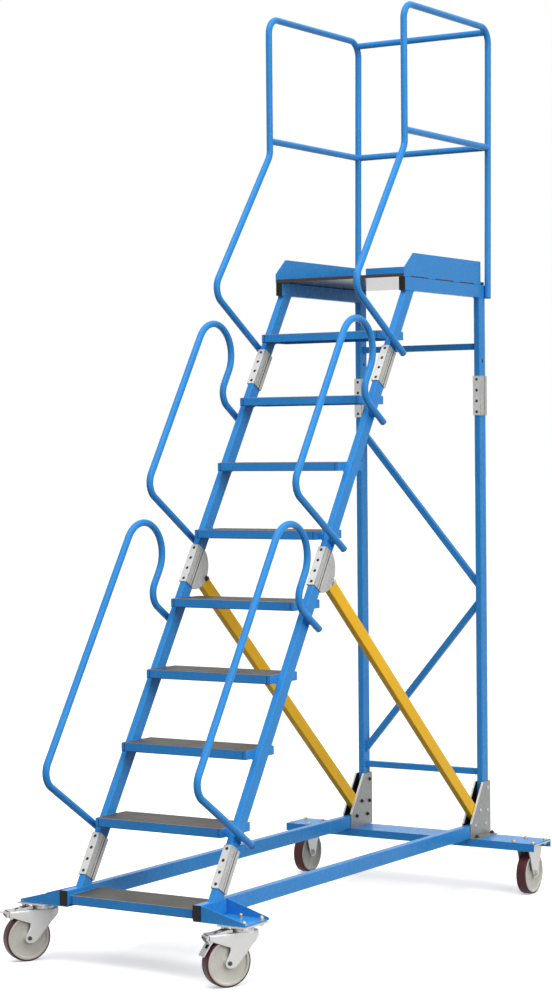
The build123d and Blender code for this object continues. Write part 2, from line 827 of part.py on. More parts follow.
for side, name in ((1, "right"), (-1, "left")):
    place = Pos(side * swivel_x, swivel_y, 0)
    turn = place * Rot(0, 0, swivel_heading - 90)
    parts[f"caster_plate_front_{name}"] = place * swivel_plate()
    parts[f"caster_fork_front_{name}"] = turn * swivel_fork()
    parts[f"caster_brake_front_{name}"] = turn * brake(pressed=side > 0)
    parts[f"wheel_core_front_{name}"] = turn * wheel_core(-swivel_offset)
    parts[f"wheel_tyre_front_{name}"] = turn * wheel_tyre(-swivel_offset)
    rear = Pos(side * rear_caster_x, beam_y, 0)
    parts[f"caster_fork_rear_{name}"] = rear * fixed_fork()
    parts[f"wheel_core_rear_{name}"] = rear * wheel_core(0)
    parts[f"wheel_tyre_rear_{name}"] = rear * wheel_tyre(0)

# The origin is moved to the middle of the footprint, on the floor
boxes = [shape.bounding_box() for shape in parts.values()]
middle_x = (min(b.min.X for b in boxes) + max(b.max.X for b in boxes)) / 2
middle_y = (min(b.min.Y for b in boxes) + max(b.max.Y for b in boxes)) / 2
to_origin = Pos(-middle_x, -middle_y, 0)

os.makedirs("parts", exist_ok=True)
for name, shape in parts.items():
    export_step(to_origin * shape, f"parts/{name}.step")
print("nodes", len(parts), "origin moved to", middle_x, middle_y)
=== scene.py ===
"""Dresses the mobile platform ladder: finishes, fittings, welds, casters, light and camera.

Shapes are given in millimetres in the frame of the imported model, and they become metres
when a mesh is finished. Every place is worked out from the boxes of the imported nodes,
from the joints, or from the fields of the sub-assembly that holds it.
"""

from __future__ import annotations

import json
import logging
import math
from collections.abc import Iterable, Sequence
from dataclasses import dataclass, field
from enum import Enum

import bmesh
import bpy
from mathutils import Matrix, Vector

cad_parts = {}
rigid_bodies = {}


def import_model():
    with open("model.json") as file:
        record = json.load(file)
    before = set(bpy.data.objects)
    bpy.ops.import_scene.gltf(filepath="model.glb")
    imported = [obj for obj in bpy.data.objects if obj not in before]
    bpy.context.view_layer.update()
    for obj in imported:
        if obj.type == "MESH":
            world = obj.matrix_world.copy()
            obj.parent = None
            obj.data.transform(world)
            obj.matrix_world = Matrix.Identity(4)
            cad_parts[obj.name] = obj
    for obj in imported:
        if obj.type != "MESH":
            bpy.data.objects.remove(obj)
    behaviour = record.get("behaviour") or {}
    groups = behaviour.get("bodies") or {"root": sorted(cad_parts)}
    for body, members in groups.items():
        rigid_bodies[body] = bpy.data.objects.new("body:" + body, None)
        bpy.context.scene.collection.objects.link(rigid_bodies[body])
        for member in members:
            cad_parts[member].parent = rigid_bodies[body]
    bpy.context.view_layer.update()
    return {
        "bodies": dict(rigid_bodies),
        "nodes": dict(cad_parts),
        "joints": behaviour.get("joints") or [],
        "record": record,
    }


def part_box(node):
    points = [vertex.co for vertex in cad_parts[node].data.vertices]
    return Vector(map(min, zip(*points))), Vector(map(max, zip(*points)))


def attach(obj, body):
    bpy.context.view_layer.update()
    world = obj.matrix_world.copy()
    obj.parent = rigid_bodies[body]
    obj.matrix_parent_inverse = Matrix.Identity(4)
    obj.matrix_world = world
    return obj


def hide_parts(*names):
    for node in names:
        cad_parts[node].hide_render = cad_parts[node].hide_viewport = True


LOG = logging.getLogger("ladder")
MM = 0.001
Colour = tuple[float, float, float]
Point = tuple[float, float]
Corner = tuple[float, float, float]
SIDES = {"right": 1.0, "left": -1.0}
# The tubes' width, and the spacing and thickness of the casters' plates
TUBE_W = 25.0
PLATE_BOLTS: Point = (80.0, 105.0)
PLATE_T = 5.0


class Finish(Enum):
    """The finishes of the ladder."""

    BLUE = "blue_powder_coat"
    # A dark blue that paints the shade at the steps' fold seams and along their lower edges.
    SEAM = "shaded_seam"
    YELLOW = "yellow_powder_coat"
    SHEET = "galvanised_sheet"
    DULL = "dull_galvanised"
    # A paler zinc that paints the light on the sleeves' front faces and the highlight on the brackets' cut
    # edges.
    BRIGHT = "bright_galvanised"
    ZINC = "bright_zinc"
    GOLD = "golden_zinc"
    DARK = "dark_steel"
    # A near black that paints the shade in screw rings, grooves, slots, openings and inside the brackets.
    GAP = "shaded_gap"
    STEP = "step_plywood"
    DECK = "deck_plywood"
    PLASTIC = "black_plastic"
    NYLON = "cast_nylon"
    TYRE = "polyurethane"


SLOT_FINISH = {
    "blue_paint": Finish.BLUE,
    "yellow_paint": Finish.YELLOW,
    "galvanised": Finish.SHEET,
    "zinc_plated": Finish.ZINC,
    "tread_plywood": Finish.STEP,
    "deck_plywood": Finish.DECK,
    "black_plastic": Finish.PLASTIC,
    "nylon_core": Finish.NYLON,
    "tyre_polyurethane": Finish.TYRE,
}
NODE_FINISH = {"base_brackets": Finish.DULL}


def wire(
    tree: bpy.types.NodeTree, kind: str, inputs: dict | None = None, **settings: object
) -> bpy.types.Node:
    """Add a node and connect or set its inputs.

    Args:
        tree: the tree that gets the node.
        kind: the node's type.
        inputs: values by input name; a socket is linked, anything else is set.
        **settings: properties of the node, set before its inputs.

    Returns:
        The new node.
    """
    node = tree.nodes.new(kind)
    for name, value in settings.items():
        setattr(node, name, value)
    for name, value in (inputs or {}).items():
        if isinstance(value, bpy.types.NodeSocket):
            tree.links.new(value, node.inputs[name])
        else:
            node.inputs[name].default_value = value
    return node


def combine(tree: bpy.types.NodeTree, way: str, first: object, second: object) -> bpy.types.NodeSocket:
    """Combine two values by a math node.

    Args:
        tree: the tree that gets the node.
        way: the operation.
        first: a number or a socket.
        second: a number or a socket.

    Returns:
        The result.
    """
    node = wire(tree, "ShaderNodeMath", operation=way)
    for index, end in enumerate((first, second)):
        if isinstance(end, bpy.types.NodeSocket):
            tree.links.new(end, node.inputs[index])
        else:
            node.inputs[index].default_value = end
    return node.outputs[0]


def put(name: str, data: bpy.types.ID) -> bpy.types.Object:
    """Make an object and link it to the scene.

    Args:
        name: the object's name.
        data: its mesh, lamp or camera.

    Returns:
        The object.
    """
    thing = bpy.data.objects.new(name, data)
    bpy.context.scene.collection.objects.link(thing)
    return thing


def toned(colour: Colour, tone: float) -> tuple[Colour, Colour]:
    """A darker and a lighter neighbour of a colour, each a share of it away."""
    return tuple(c * (1 - tone) for c in colour), tuple(min(1.0, c * (1 + tone)) for c in colour)


class Surface:
    """A material under construction, on the piece's own coordinates."""

    def __init__(self, name: str, **plain: float) -> None:
        """Start a material.

        Args:
            name: the material's name.
            **plain: plain values of the shader, with underscores for spaces.
        """
        self.material = bpy.data.materials.new(name)
        self.material.use_nodes = True
        self.tree = self.material.node_tree
        self.shader = self.tree.nodes["Principled BSDF"]
        self.place = wire(self.tree, "ShaderNodeTexCoord").outputs["Object"]
        for key, value in plain.items():
            self.shader.inputs[key.replace("_", " ").title().replace("Ior", "IOR")].default_value = value

    def noise(self, scale: float, detail: float = 3.0, stretch: Colour = (1, 1, 1)) -> bpy.types.NodeSocket:
        """Cloudy noise from 0 to 1.

        Args:
            scale: cells per metre.
            detail: octaves.
            stretch: how much finer the noise is along each axis.

        Returns:
            The noise value.
        """
        moved = wire(self.tree, "ShaderNodeMapping", {"Vector": self.place, "Scale": stretch})
        node = wire(
            self.tree, "ShaderNodeTexNoise",
            {"Vector": moved.outputs["Vector"], "Scale": scale, "Detail": detail},
        )
        return node.outputs["Fac"]

    def spread(
        self, value: bpy.types.NodeSocket, low: float, high: float, span: Point = (0.3, 0.7)
    ) -> bpy.types.NodeSocket:
        """Map a value onto a new range.

        Args:
            value: what is mapped.
            low: the result at the span's start.
            high: the result at the span's end.
            span: the part of the value that counts.

        Returns:
            The mapped value.
        """
        names = {"Value": value, "From Min": span[0], "From Max": span[1], "To Min": low, "To Max": high}
        return wire(self.tree, "ShaderNodeMapRange", names).outputs["Result"]

    def blend(self, share: bpy.types.NodeSocket, first: object, second: object) -> bpy.types.NodeSocket:
        """Mix two colours.

        Args:
            share: 0 for the first, 1 for the second.
            first: a colour or a socket.
            second: a colour or a socket.

        Returns:
            The mixed colour.
        """
        ends = [end if isinstance(end, bpy.types.NodeSocket) else (*end, 1.0) for end in (first, second)]
        inputs = {"A": ends[0], "B": ends[1], "Factor": share}
        return wire(self.tree, "ShaderNodeMix", inputs, data_type="RGBA").outputs["Result"]

    def sum(self, first: object, second: object, way: str = "ADD") -> bpy.types.NodeSocket:
        """Add two numbers or sockets, or combine them another way."""
        return combine(self.tree, way, first, second)

    def wave(self, along: bpy.types.NodeSocket, pitch: float) -> bpy.types.NodeSocket:
        """A wave from -1 to 1 along a coordinate, with one turn for each pitch."""
        return self.sum(self.sum(along, 2 * math.pi / pitch, "MULTIPLY"), 0.0, "SINE")

    def facing_up(self) -> bpy.types.NodeSocket:
        """How far the surface faces up, from -1 to 1."""
        normal = wire(self.tree, "ShaderNodeNewGeometry").outputs["Normal"]
        return wire(self.tree, "ShaderNodeSeparateXYZ", {"Vector": normal}).outputs["Z"]

    def relief(self, height: bpy.types.NodeSocket, depth: float) -> None:
        """Give the surface a fine relief, on top of any that it has.

        Args:
            height: the relief's value from 0 to 1.
            depth: its depth in metres.
        """
        bump = wire(self.tree, "ShaderNodeBump", {"Height": height, "Distance": depth})
        if self.shader.inputs["Normal"].is_linked:
            self.tree.links.new(self.shader.inputs["Normal"].links[0].from_socket, bump.inputs["Normal"])
        self.tree.links.new(bump.outputs["Normal"], self.shader.inputs["Normal"])

    def colour(self, socket: bpy.types.NodeSocket) -> None:
        """Give the surface its colour."""
        self.tree.links.new(socket, self.shader.inputs["Base Color"])

    def roughness(self, socket: bpy.types.NodeSocket) -> None:
        """Give the surface its roughness."""
        self.tree.links.new(socket, self.shader.inputs["Roughness"])


@dataclass(frozen=True)
class PowderCoat:
    """Baked powder paint with a faint orange peel and small changes of tone."""

    name: str
    colour: Colour
    gloss: float = 0.30
    gloss_span: float = 0.10
    shine: float = 0.22
    tone: float = 0.05
    cloud_scale: float = 7.0
    cloud_detail: float = 5.0
    sheen_scale: float = 42.0
    peel_scale: float = 620.0
    peel_depth: float = 0.00007

    def material(self) -> bpy.types.Material:
        """Build the material.

        Returns:
            The material.
        """
        paint = Surface(self.name, specular_ior_level=self.shine)
        cloud = paint.noise(self.cloud_scale, self.cloud_detail)
        paint.colour(paint.blend(paint.spread(cloud, 0, 1), *toned(self.colour, self.tone)))
        sheen = paint.noise(self.sheen_scale)
        paint.roughness(paint.spread(sheen, self.gloss, self.gloss + self.gloss_span))
        paint.relief(paint.noise(self.peel_scale, detail=1.0), self.peel_depth)
        return paint.material


@dataclass(frozen=True)
class SheetZinc:
    """Zinc on steel: spangle cells, fine rolling lines and dull patches."""

    name: str
    colour: Colour
    gloss: float = 0.36
    gloss_less: float = 0.06
    gloss_more: float = 0.12
    metal: float = 0.85
    tone: float = 0.16
    spangle: float = 0.45
    spangle_scale: float = 140.0
    patch_scale: float = 18.0
    patch_detail: float = 4.0
    span: Point = (0.2, 0.8)
    line_scale: float = 260.0
    line_stretch: Colour = (4, 4, 0.4)
    line_depth: float = 0.00004

    def material(self) -> bpy.types.Material:
        """Build the material.

        Returns:
            The material.
        """
        sheet = Surface(self.name, metallic=self.metal)
        cells = wire(
            sheet.tree, "ShaderNodeTexVoronoi", {"Vector": sheet.place, "Scale": self.spangle_scale}
        )
        shade = wire(sheet.tree, "ShaderNodeSeparateColor", {"Color": cells.outputs["Color"]}).outputs["Red"]
        patch = sheet.noise(self.patch_scale, self.patch_detail)
        both = sheet.sum(
            sheet.sum(shade, self.spangle, "MULTIPLY"), sheet.sum(patch, 1 - self.spangle, "MULTIPLY")
        )
        tone = sheet.spread(both, 0, 1, self.span)
        sheet.colour(sheet.blend(tone, *toned(self.colour, self.tone)))
        rough = sheet.spread(both, self.gloss - self.gloss_less, self.gloss + self.gloss_more, self.span)
        sheet.roughness(rough)
        sheet.relief(sheet.noise(self.line_scale, 2.0, self.line_stretch), self.line_depth)
        return sheet.material


@dataclass(frozen=True)
class BoltMetal:
    """Plated or blackened steel of small fasteners, with a drifting tint."""

    name: str
    colour: Colour
    tint: Colour
    gloss: float = 0.28
    gloss_span: float = 0.14
    metal: float = 0.95
    tint_scale: float = 160.0
    grain_scale: float = 1400.0
    grain_depth: float = 0.00002

    def material(self) -> bpy.types.Material:
        """Build the material.

        Returns:
            The material.
        """
        bolt = Surface(self.name, metallic=self.metal)
        drift = bolt.noise(self.tint_scale)
        bolt.colour(bolt.blend(bolt.spread(drift, 0, 1), self.colour, self.tint))
        bolt.roughness(bolt.spread(drift, self.gloss, self.gloss + self.gloss_span))
        bolt.relief(bolt.noise(self.grain_scale, 2.0), self.grain_depth)
        return bolt.material


@dataclass(frozen=True)
class FilmPlywood:
    """Birch plywood faced with a brown film: wire mesh on top, smooth below, veneers at the edge."""

    name: str
    film: Colour
    film_light: Colour
    under: Colour
    under_gloss: float
    top_gloss: float = 0.55
    shine: float = 0.4
    veneer_pale: Colour = (0.46, 0.25, 0.10)
    veneer_dark: Colour = (0.24, 0.11, 0.045)
    veneer_pitch: float = 0.0028
    veneer_span: Point = (-0.2, 0.2)
    veneer_share: float = 0.8
    grain_scale: float = 60.0
    grain_stretch: Colour = (1, 1, 12)
    grain_share: float = 0.3
    mesh_pitch: float = 0.0030
    mesh_depth: float = 0.00025
    mesh_span: Point = (0.2, 1.0)
    mesh_share: float = 0.22
    wear_scale: float = 9.0
    flat_share: float = 0.9

    def material(self) -> bpy.types.Material:
        """Build the material.

        Returns:
            The material.
        """
        ply = Surface(self.name, specular_ior_level=self.shine)
        split = wire(ply.tree, "ShaderNodeSeparateXYZ", {"Vector": ply.place})
        across, along = (ply.wave(split.outputs[axis], self.mesh_pitch) for axis in "XY")
        mesh = ply.spread(ply.sum(across, along, "MAXIMUM"), 0, 1, self.mesh_span)
        wear = ply.spread(ply.noise(self.wear_scale, 5.0), 0, 1)
        top = ply.blend(wear, self.film, self.film_light)
        top = ply.blend(ply.sum(mesh, self.mesh_share, "MULTIPLY"), top, self.film_light)
        layers = ply.wave(split.outputs["Z"], self.veneer_pitch)
        veneers = ply.spread(layers, 0, self.veneer_share, self.veneer_span)
        grain = ply.noise(self.grain_scale, 4.0, self.grain_stretch)
        shade = ply.sum(veneers, ply.sum(grain, self.grain_share, "MULTIPLY"))
        edge = ply.blend(shade, self.veneer_pale, self.veneer_dark)
        up = ply.facing_up()
        is_top = ply.sum(up, self.flat_share, "GREATER_THAN")
        is_under = ply.sum(up, -self.flat_share, "LESS_THAN")
        skin = ply.blend(is_under, ply.blend(is_top, edge, top), self.under)
        ply.colour(skin)
        ply.roughness(ply.spread(is_under, self.top_gloss, self.under_gloss, (0, 1)))
        ply.relief(ply.sum(mesh, is_top, "MULTIPLY"), self.mesh_depth)
        return ply.material


@dataclass(frozen=True)
class Moulded:
    """Plastic, cast nylon or polyurethane, with a fine grain and soiled patches."""

    name: str
    colour: Colour
    soiled: Colour
    gloss: float = 0.4
    gloss_span: float = 0.12
    glow: float = 0.0
    glow_depth: float = 0.004
    shine: float = 0.5
    patch_scale: float = 22.0
    patch_detail: float = 5.0
    patch_span: Point = (0.35, 0.75)
    grain_scale: float = 900.0
    grain_depth: float = 0.00004

    def material(self) -> bpy.types.Material:
        """Build the material.

        Returns:
            The material.
        """
        body = Surface(
            self.name, subsurface_weight=self.glow, subsurface_scale=self.glow_depth,
            specular_ior_level=self.shine,
        )
        patch = body.noise(self.patch_scale, self.patch_detail)
        body.colour(body.blend(body.spread(patch, 0, 1, self.patch_span), self.colour, self.soiled))
        body.roughness(body.spread(patch, self.gloss, self.gloss + self.gloss_span))
        body.relief(body.noise(self.grain_scale, 2.0), self.grain_depth)
        return body.material


def all_finishes() -> dict[Finish, bpy.types.Material]:
    """Build every finish of the ladder.

    Returns:
        The material of each finish.
    """
    makers = {
        Finish.BLUE: PowderCoat(Finish.BLUE.value, (0.032, 0.255, 0.65), gloss=0.22, shine=0.12),
        Finish.SEAM: PowderCoat(Finish.SEAM.value, (0.006, 0.035, 0.12), gloss=0.6),
        Finish.YELLOW: PowderCoat(Finish.YELLOW.value, (0.92, 0.51, 0.010), shine=0.12, tone=0.04),
        Finish.SHEET: SheetZinc(Finish.SHEET.value, (0.45, 0.45, 0.43), metal=0.3),
        Finish.DULL: SheetZinc(Finish.DULL.value, (0.27, 0.27, 0.255), metal=0.3, spangle=0.6),
        Finish.BRIGHT: SheetZinc(Finish.BRIGHT.value, (0.72, 0.72, 0.70), metal=0.2, tone=0.06),
        Finish.ZINC: SheetZinc(
            Finish.ZINC.value, (0.50, 0.50, 0.49), gloss=0.32, metal=0.6, tone=0.03, spangle=0.08
        ),
        Finish.GOLD: BoltMetal(Finish.GOLD.value, (0.66, 0.46, 0.20), (0.58, 0.50, 0.30)),
        Finish.DARK: BoltMetal(Finish.DARK.value, (0.030, 0.030, 0.033), (0.06, 0.055, 0.05), metal=0.6),
        Finish.GAP: Moulded(
            Finish.GAP.value, (0.008, 0.008, 0.008), (0.016, 0.015, 0.014), gloss=0.85, shine=0.1
        ),
        Finish.STEP: FilmPlywood(
            Finish.STEP.value, (0.050, 0.046, 0.037), (0.095, 0.088, 0.073), (0.05, 0.032, 0.022), 0.35
        ),
        Finish.DECK: FilmPlywood(
            Finish.DECK.value, (0.085, 0.078, 0.066), (0.15, 0.14, 0.12), (0.035, 0.022, 0.016), 0.16,
            veneer_pale=(0.060, 0.032, 0.016), veneer_dark=(0.030, 0.016, 0.009),
        ),
        Finish.PLASTIC: Moulded(
            Finish.PLASTIC.value, (0.007, 0.007, 0.007), (0.014, 0.014, 0.014), gloss=0.5, shine=0.2
        ),
        Finish.NYLON: Moulded(Finish.NYLON.value, (0.60, 0.59, 0.53), (0.52, 0.50, 0.44), glow=0.06),
        Finish.TYRE: Moulded(
            Finish.TYRE.value, (0.070, 0.013, 0.019), (0.090, 0.026, 0.030), gloss=0.38, shine=0.25
        ),
    }
    return {finish: maker.material() for finish, maker in makers.items()}


def arc(centre: Point, radius: float, start: float, end: float, steps: int) -> list[Point]:
    """Points along an arc.

    Args:
        centre: its centre.
        radius: its radius.
        start: the first angle in degrees.
        end: the last angle in degrees.
        steps: how many pieces it has.

    Returns:
        The points, both ends among them.
    """
    angles = [math.radians(start + (end - start) * i / steps) for i in range(steps + 1)]
    return [(centre[0] + radius * math.cos(a), centre[1] + radius * math.sin(a)) for a in angles]


def rounded(outline: Sequence[Point], radii: Sequence[float], steps: int = 5) -> list[Point]:
    """Round the corners of a closed outline.

    Args:
        outline: its corners.
        radii: one radius for each corner, zero for a sharp one.
        steps: how many pieces each round has.

    Returns:
        The rounded outline.
    """
    points: list[Point] = []
    for index, (corner, radius) in enumerate(zip(outline, radii)):
        if radius <= 0:
            points.append(corner)
            continue
        here = Vector(corner)
        before = (Vector(outline[index - 1]) - here).normalized()
        after = (Vector(outline[(index + 1) % len(outline)]) - here).normalized()
        half = before.angle(after) / 2
        centre = here + (before + after).normalized() * (radius / math.sin(half))
        start = here + before * (radius / math.tan(half)) - centre
        end = here + after * (radius / math.tan(half)) - centre
        turn = math.atan2(start.x * end.y - start.y * end.x, start.dot(end))
        first = math.degrees(math.atan2(start.y, start.x))
        points += arc(tuple(centre), radius, first, first + math.degrees(turn), steps)
    return points


def cut(corners: Sequence[Corner]) -> list[Point]:
    """An outline from its corners, each with the radius of its round."""
    return rounded([(x, y) for x, y, _ in corners], [radius for _, _, radius in corners])


def oblong(low: Sequence[float], high: Sequence[float]) -> list[Point]:
    """An oblong between two corners."""
    return [(low[0], low[1]), (high[0], low[1]), (high[0], high[1]), (low[0], high[1])]


def disc(radius: float, steps: int = 24) -> list[Point]:
    """A round outline about the origin."""
    return arc((0, 0), radius, 0, 360 - 360 / steps, steps - 1)


def slot_outline(length: float, width: float) -> list[Point]:
    """A slot with round ends, centred, its length along the first axis."""
    half = (length - width) / 2
    return arc((half, 0), width / 2, -90, 90, 8) + arc((-half, 0), width / 2, 90, 270, 8)


def bolt_places(centre: Vector) -> list[Point]:
    """The X and Y of the four bolts of a caster's plate, about its centre."""
    half_x, half_y = (spread / 2 for spread in PLATE_BOLTS)
    return [(centre.x + dx, centre.y + dy) for dx in (-half_x, half_x) for dy in (-half_y, half_y)]


def stand(origin: Sequence[float], direction: Sequence[float]) -> Matrix:
    """A frame at a point whose Z axis is a direction."""
    turn = Vector(direction).to_track_quat("Z", "Y").to_matrix().to_4x4()
    return Matrix.Translation(Vector(origin)) @ turn


def axes(
    origin: Sequence[float], first: Sequence[float], second: Sequence[float], third: Sequence[float]
) -> Matrix:
    """A frame from its origin and its three axes."""
    turn = Matrix((Vector(first), Vector(second), Vector(third))).transposed().to_4x4()
    return Matrix.Translation(Vector(origin)) @ turn


class Form:
    """A mesh under construction, in millimetres."""

    def __init__(self) -> None:
        """Start an empty form."""
        self.bm = bmesh.new()

    def prism(self, outline: Sequence[Point], depth: float, place: Matrix, material: int = 0) -> None:
        """Add a flat outline, made as thick as the depth along the frame's Z.

        Args:
            outline: the outline in the frame's X and Y.
            depth: the thickness.
            place: the frame.
            material: the index of its material.
        """
        low = [self.bm.verts.new(place @ Vector((x, y, 0))) for x, y in outline]
        high = [self.bm.verts.new(place @ Vector((x, y, depth))) for x, y in outline]
        faces = [self.bm.faces.new(low[::-1]), self.bm.faces.new(high)]
        for i in range(len(low)):
            j = (i + 1) % len(low)
            faces.append(self.bm.faces.new((low[i], low[j], high[j], high[i])))
        for face in faces:
            face.material_index = material

    def block(self, low: Sequence[float], high: Sequence[float], material: int = 0) -> None:
        """Add a box between two corners."""
        place = Matrix.Translation((0, 0, low[2]))
        self.prism(oblong(low, high), high[2] - low[2], place, material)

    def lathe(
        self, profile: Sequence[Point], place: Matrix, segments: int = 48, ring: bool = False,
        material: int = 0,
    ) -> None:
        """Turn a profile about the frame's Z.

        Args:
            profile: radius and height of each point.
            place: the frame.
            segments: how many flats go round.
            ring: True where the profile closes on itself.
            material: the index of its material.
        """
        rings = []
        for radius, height in profile:
            count = segments if radius > 0 else 1
            spots = [2 * math.pi * i / segments for i in range(count)]
            rings.append([
                self.bm.verts.new(place @ Vector((radius * math.cos(a), radius * math.sin(a), height)))
                for a in spots
            ])
        pairs = list(zip(rings, rings[1:])) + ([(rings[-1], rings[0])] if ring else [])
        for low, high in pairs:
            for i in range(segments):
                j = (i + 1) % segments
                corners = [low[i % len(low)], low[j % len(low)], high[j % len(high)], high[i % len(high)]]
                corners = list(dict.fromkeys(corners))
                if len(corners) > 2:
                    self.bm.faces.new(corners).material_index = material

    def grid(self, rows: Sequence[Sequence[Vector]], material: int = 0) -> list[list[bmesh.types.BMVert]]:
        """Add an open sheet through rows of points.

        Args:
            rows: the points, as many in each row.
            material: the index of its material.

        Returns:
            The vertices of each row.
        """
        verts = [[self.bm.verts.new(point) for point in row] for row in rows]
        for low, high in zip(verts, verts[1:]):
            for i in range(len(low) - 1):
                self.bm.faces.new((low[i], low[i + 1], high[i + 1], high[i])).material_index = material
        return verts

    def mesh(self, name: str, smooth: float = 35.0, recalculate: bool = True) -> bpy.types.Mesh:
        """Finish the form as a mesh in metres.

        Args:
            name: the mesh's name.
            smooth: edges turned more than this many degrees stay sharp.
            recalculate: whether the faces are turned outwards.

        Returns:
            The mesh.
        """
        bmesh.ops.remove_doubles(self.bm, verts=self.bm.verts, dist=0.0005)
        if recalculate:
            bmesh.ops.recalc_face_normals(self.bm, faces=self.bm.faces)
        bmesh.ops.scale(self.bm, verts=self.bm.verts, vec=(MM, MM, MM))
        mesh = bpy.data.meshes.new(name)
        self.bm.to_mesh(mesh)
        self.bm.free()
        mesh.shade_smooth()
        mesh.set_sharp_from_angle(angle=math.radians(smooth))
        return mesh


class Head(Enum):
    """The kinds of fastener on the ladder."""

    BUTTON = "button"
    DOME = "dome"
    CAP_NUT = "cap_nut"
    NUT = "nut"
    HEX = "hex"
    RING = "ring"


@dataclass(frozen=True)
class Fastener:
    """One kind of fastener, standing on z = 0 of its own frame.

    Shares are of the head's radius or height, and angles are degrees up from the head's foot.
    """

    kind: Head
    radius: float
    height: float
    washer: float = 0.0
    washer_t: float = 0.0
    shank: float = 0.0
    lift: float = 0.0
    past_nut: float = 3.0
    past_seat: float = 0.5
    chamfer: float = 1.0
    washer_rim_share: float = 0.25
    crown_foot_share: float = 0.2
    crown_angles: tuple[float, ...] = (0, 18, 36, 54, 68)
    socket_share: float = 0.36
    socket_floor_share: float = 0.9
    socket_rim_z_share: float = 0.95
    socket_floor_z_share: float = 0.3
    hex_sides: int = 6
    hex_chamfer_share: float = 0.12
    cap_foot_share: float = 0.9
    cap_radius_share: float = 0.94
    cap_angles: tuple[float, ...] = (0, 20, 40, 60, 78)
    round_segments: int = 24
    shank_segments: int = 16

    def form(self) -> Form:
        """Build the fastener's form.

        Returns:
            The form, in millimetres.
        """
        form = Form()
        foot = Matrix.Identity(4)
        if self.washer:
            rim = self.washer_t * self.washer_rim_share
            form.lathe(
                [(0, 0), (self.washer, 0), (self.washer, self.washer_t - rim),
                 (self.washer - rim, self.washer_t), (0, self.washer_t)], foot, self.round_segments,
            )
        seat = self.washer_t + self.lift
        if self.shank:
            top = seat + (self.height + self.past_nut if self.kind is Head.NUT else self.past_seat)
            form.lathe(
                [(0, 0), (self.shank, 0), (self.shank, top - self.chamfer),
                 (self.shank - self.chamfer, top), (0, top)], foot, self.shank_segments,
            )
        if self.kind is Head.RING:
            ring = [(0, 0), (self.radius, 0), (self.radius, self.height), (0, self.height)]
            form.lathe(ring, foot, self.round_segments)
        elif self.kind in (Head.BUTTON, Head.DOME):
            form.lathe(self.crown(seat), foot, self.round_segments)
        else:
            flat = self.radius * math.cos(math.pi / self.hex_sides)
            form.lathe(self.hexagon(seat, flat), foot, self.hex_sides)
            if self.kind is Head.CAP_NUT:
                form.lathe(self.cap(seat, flat), foot, self.round_segments)
        return form

    def crown(self, seat: float) -> list[Point]:
        """The profile of a domed head, with its socket where it is a button.

        Args:
            seat: the height that the head stands on.

        Returns:
            Radius and height of each point.
        """
        foot = self.crown_foot_share
        angles = [math.radians(degrees) for degrees in self.crown_angles]
        crown = [
            (self.radius * math.cos(a), seat + self.height * (foot + (1 - foot) * math.sin(a)))
            for a in angles
        ]
        end = [(0, seat + self.height)]
        if self.kind is Head.BUTTON:
            socket = self.radius * self.socket_share
            floor = seat + self.height * self.socket_floor_z_share
            rim = seat + self.height * self.socket_rim_z_share
            end = [(socket, rim), (socket * self.socket_floor_share, floor), (0, floor)]
        return [(0, seat), (self.radius, seat)] + crown + end

    def hexagon(self, seat: float, flat: float) -> list[Point]:
        """The profile of a nut, with both of its ends chamfered.

        Args:
            seat: the height that the nut stands on.
            flat: half of its width across the flats.

        Returns:
            Radius and height of each point.
        """
        low = self.hex_chamfer_share * self.height
        top = seat + self.height
        side = [(self.radius, seat + low), (self.radius, top - low)]
        return [(0, seat), (flat, seat)] + side + [(flat, top), (0, top)]

    def cap(self, seat: float, flat: float) -> list[Point]:
        """The profile of the dome on a cap nut.

        Args:
            seat: the height that the nut stands on.
            flat: half of its width across the flats.

        Returns:
            Radius and height of each point.
        """
        base = seat + self.height * self.cap_foot_share
        dome = flat * self.cap_radius_share
        angles = [math.radians(degrees) for degrees in self.cap_angles]
        turned = [(dome * math.cos(a), base + dome * math.sin(a)) for a in angles]
        sunk = base - self.chamfer
        return [(0, sunk), (dome, sunk)] + turned + [(0, base + dome)]


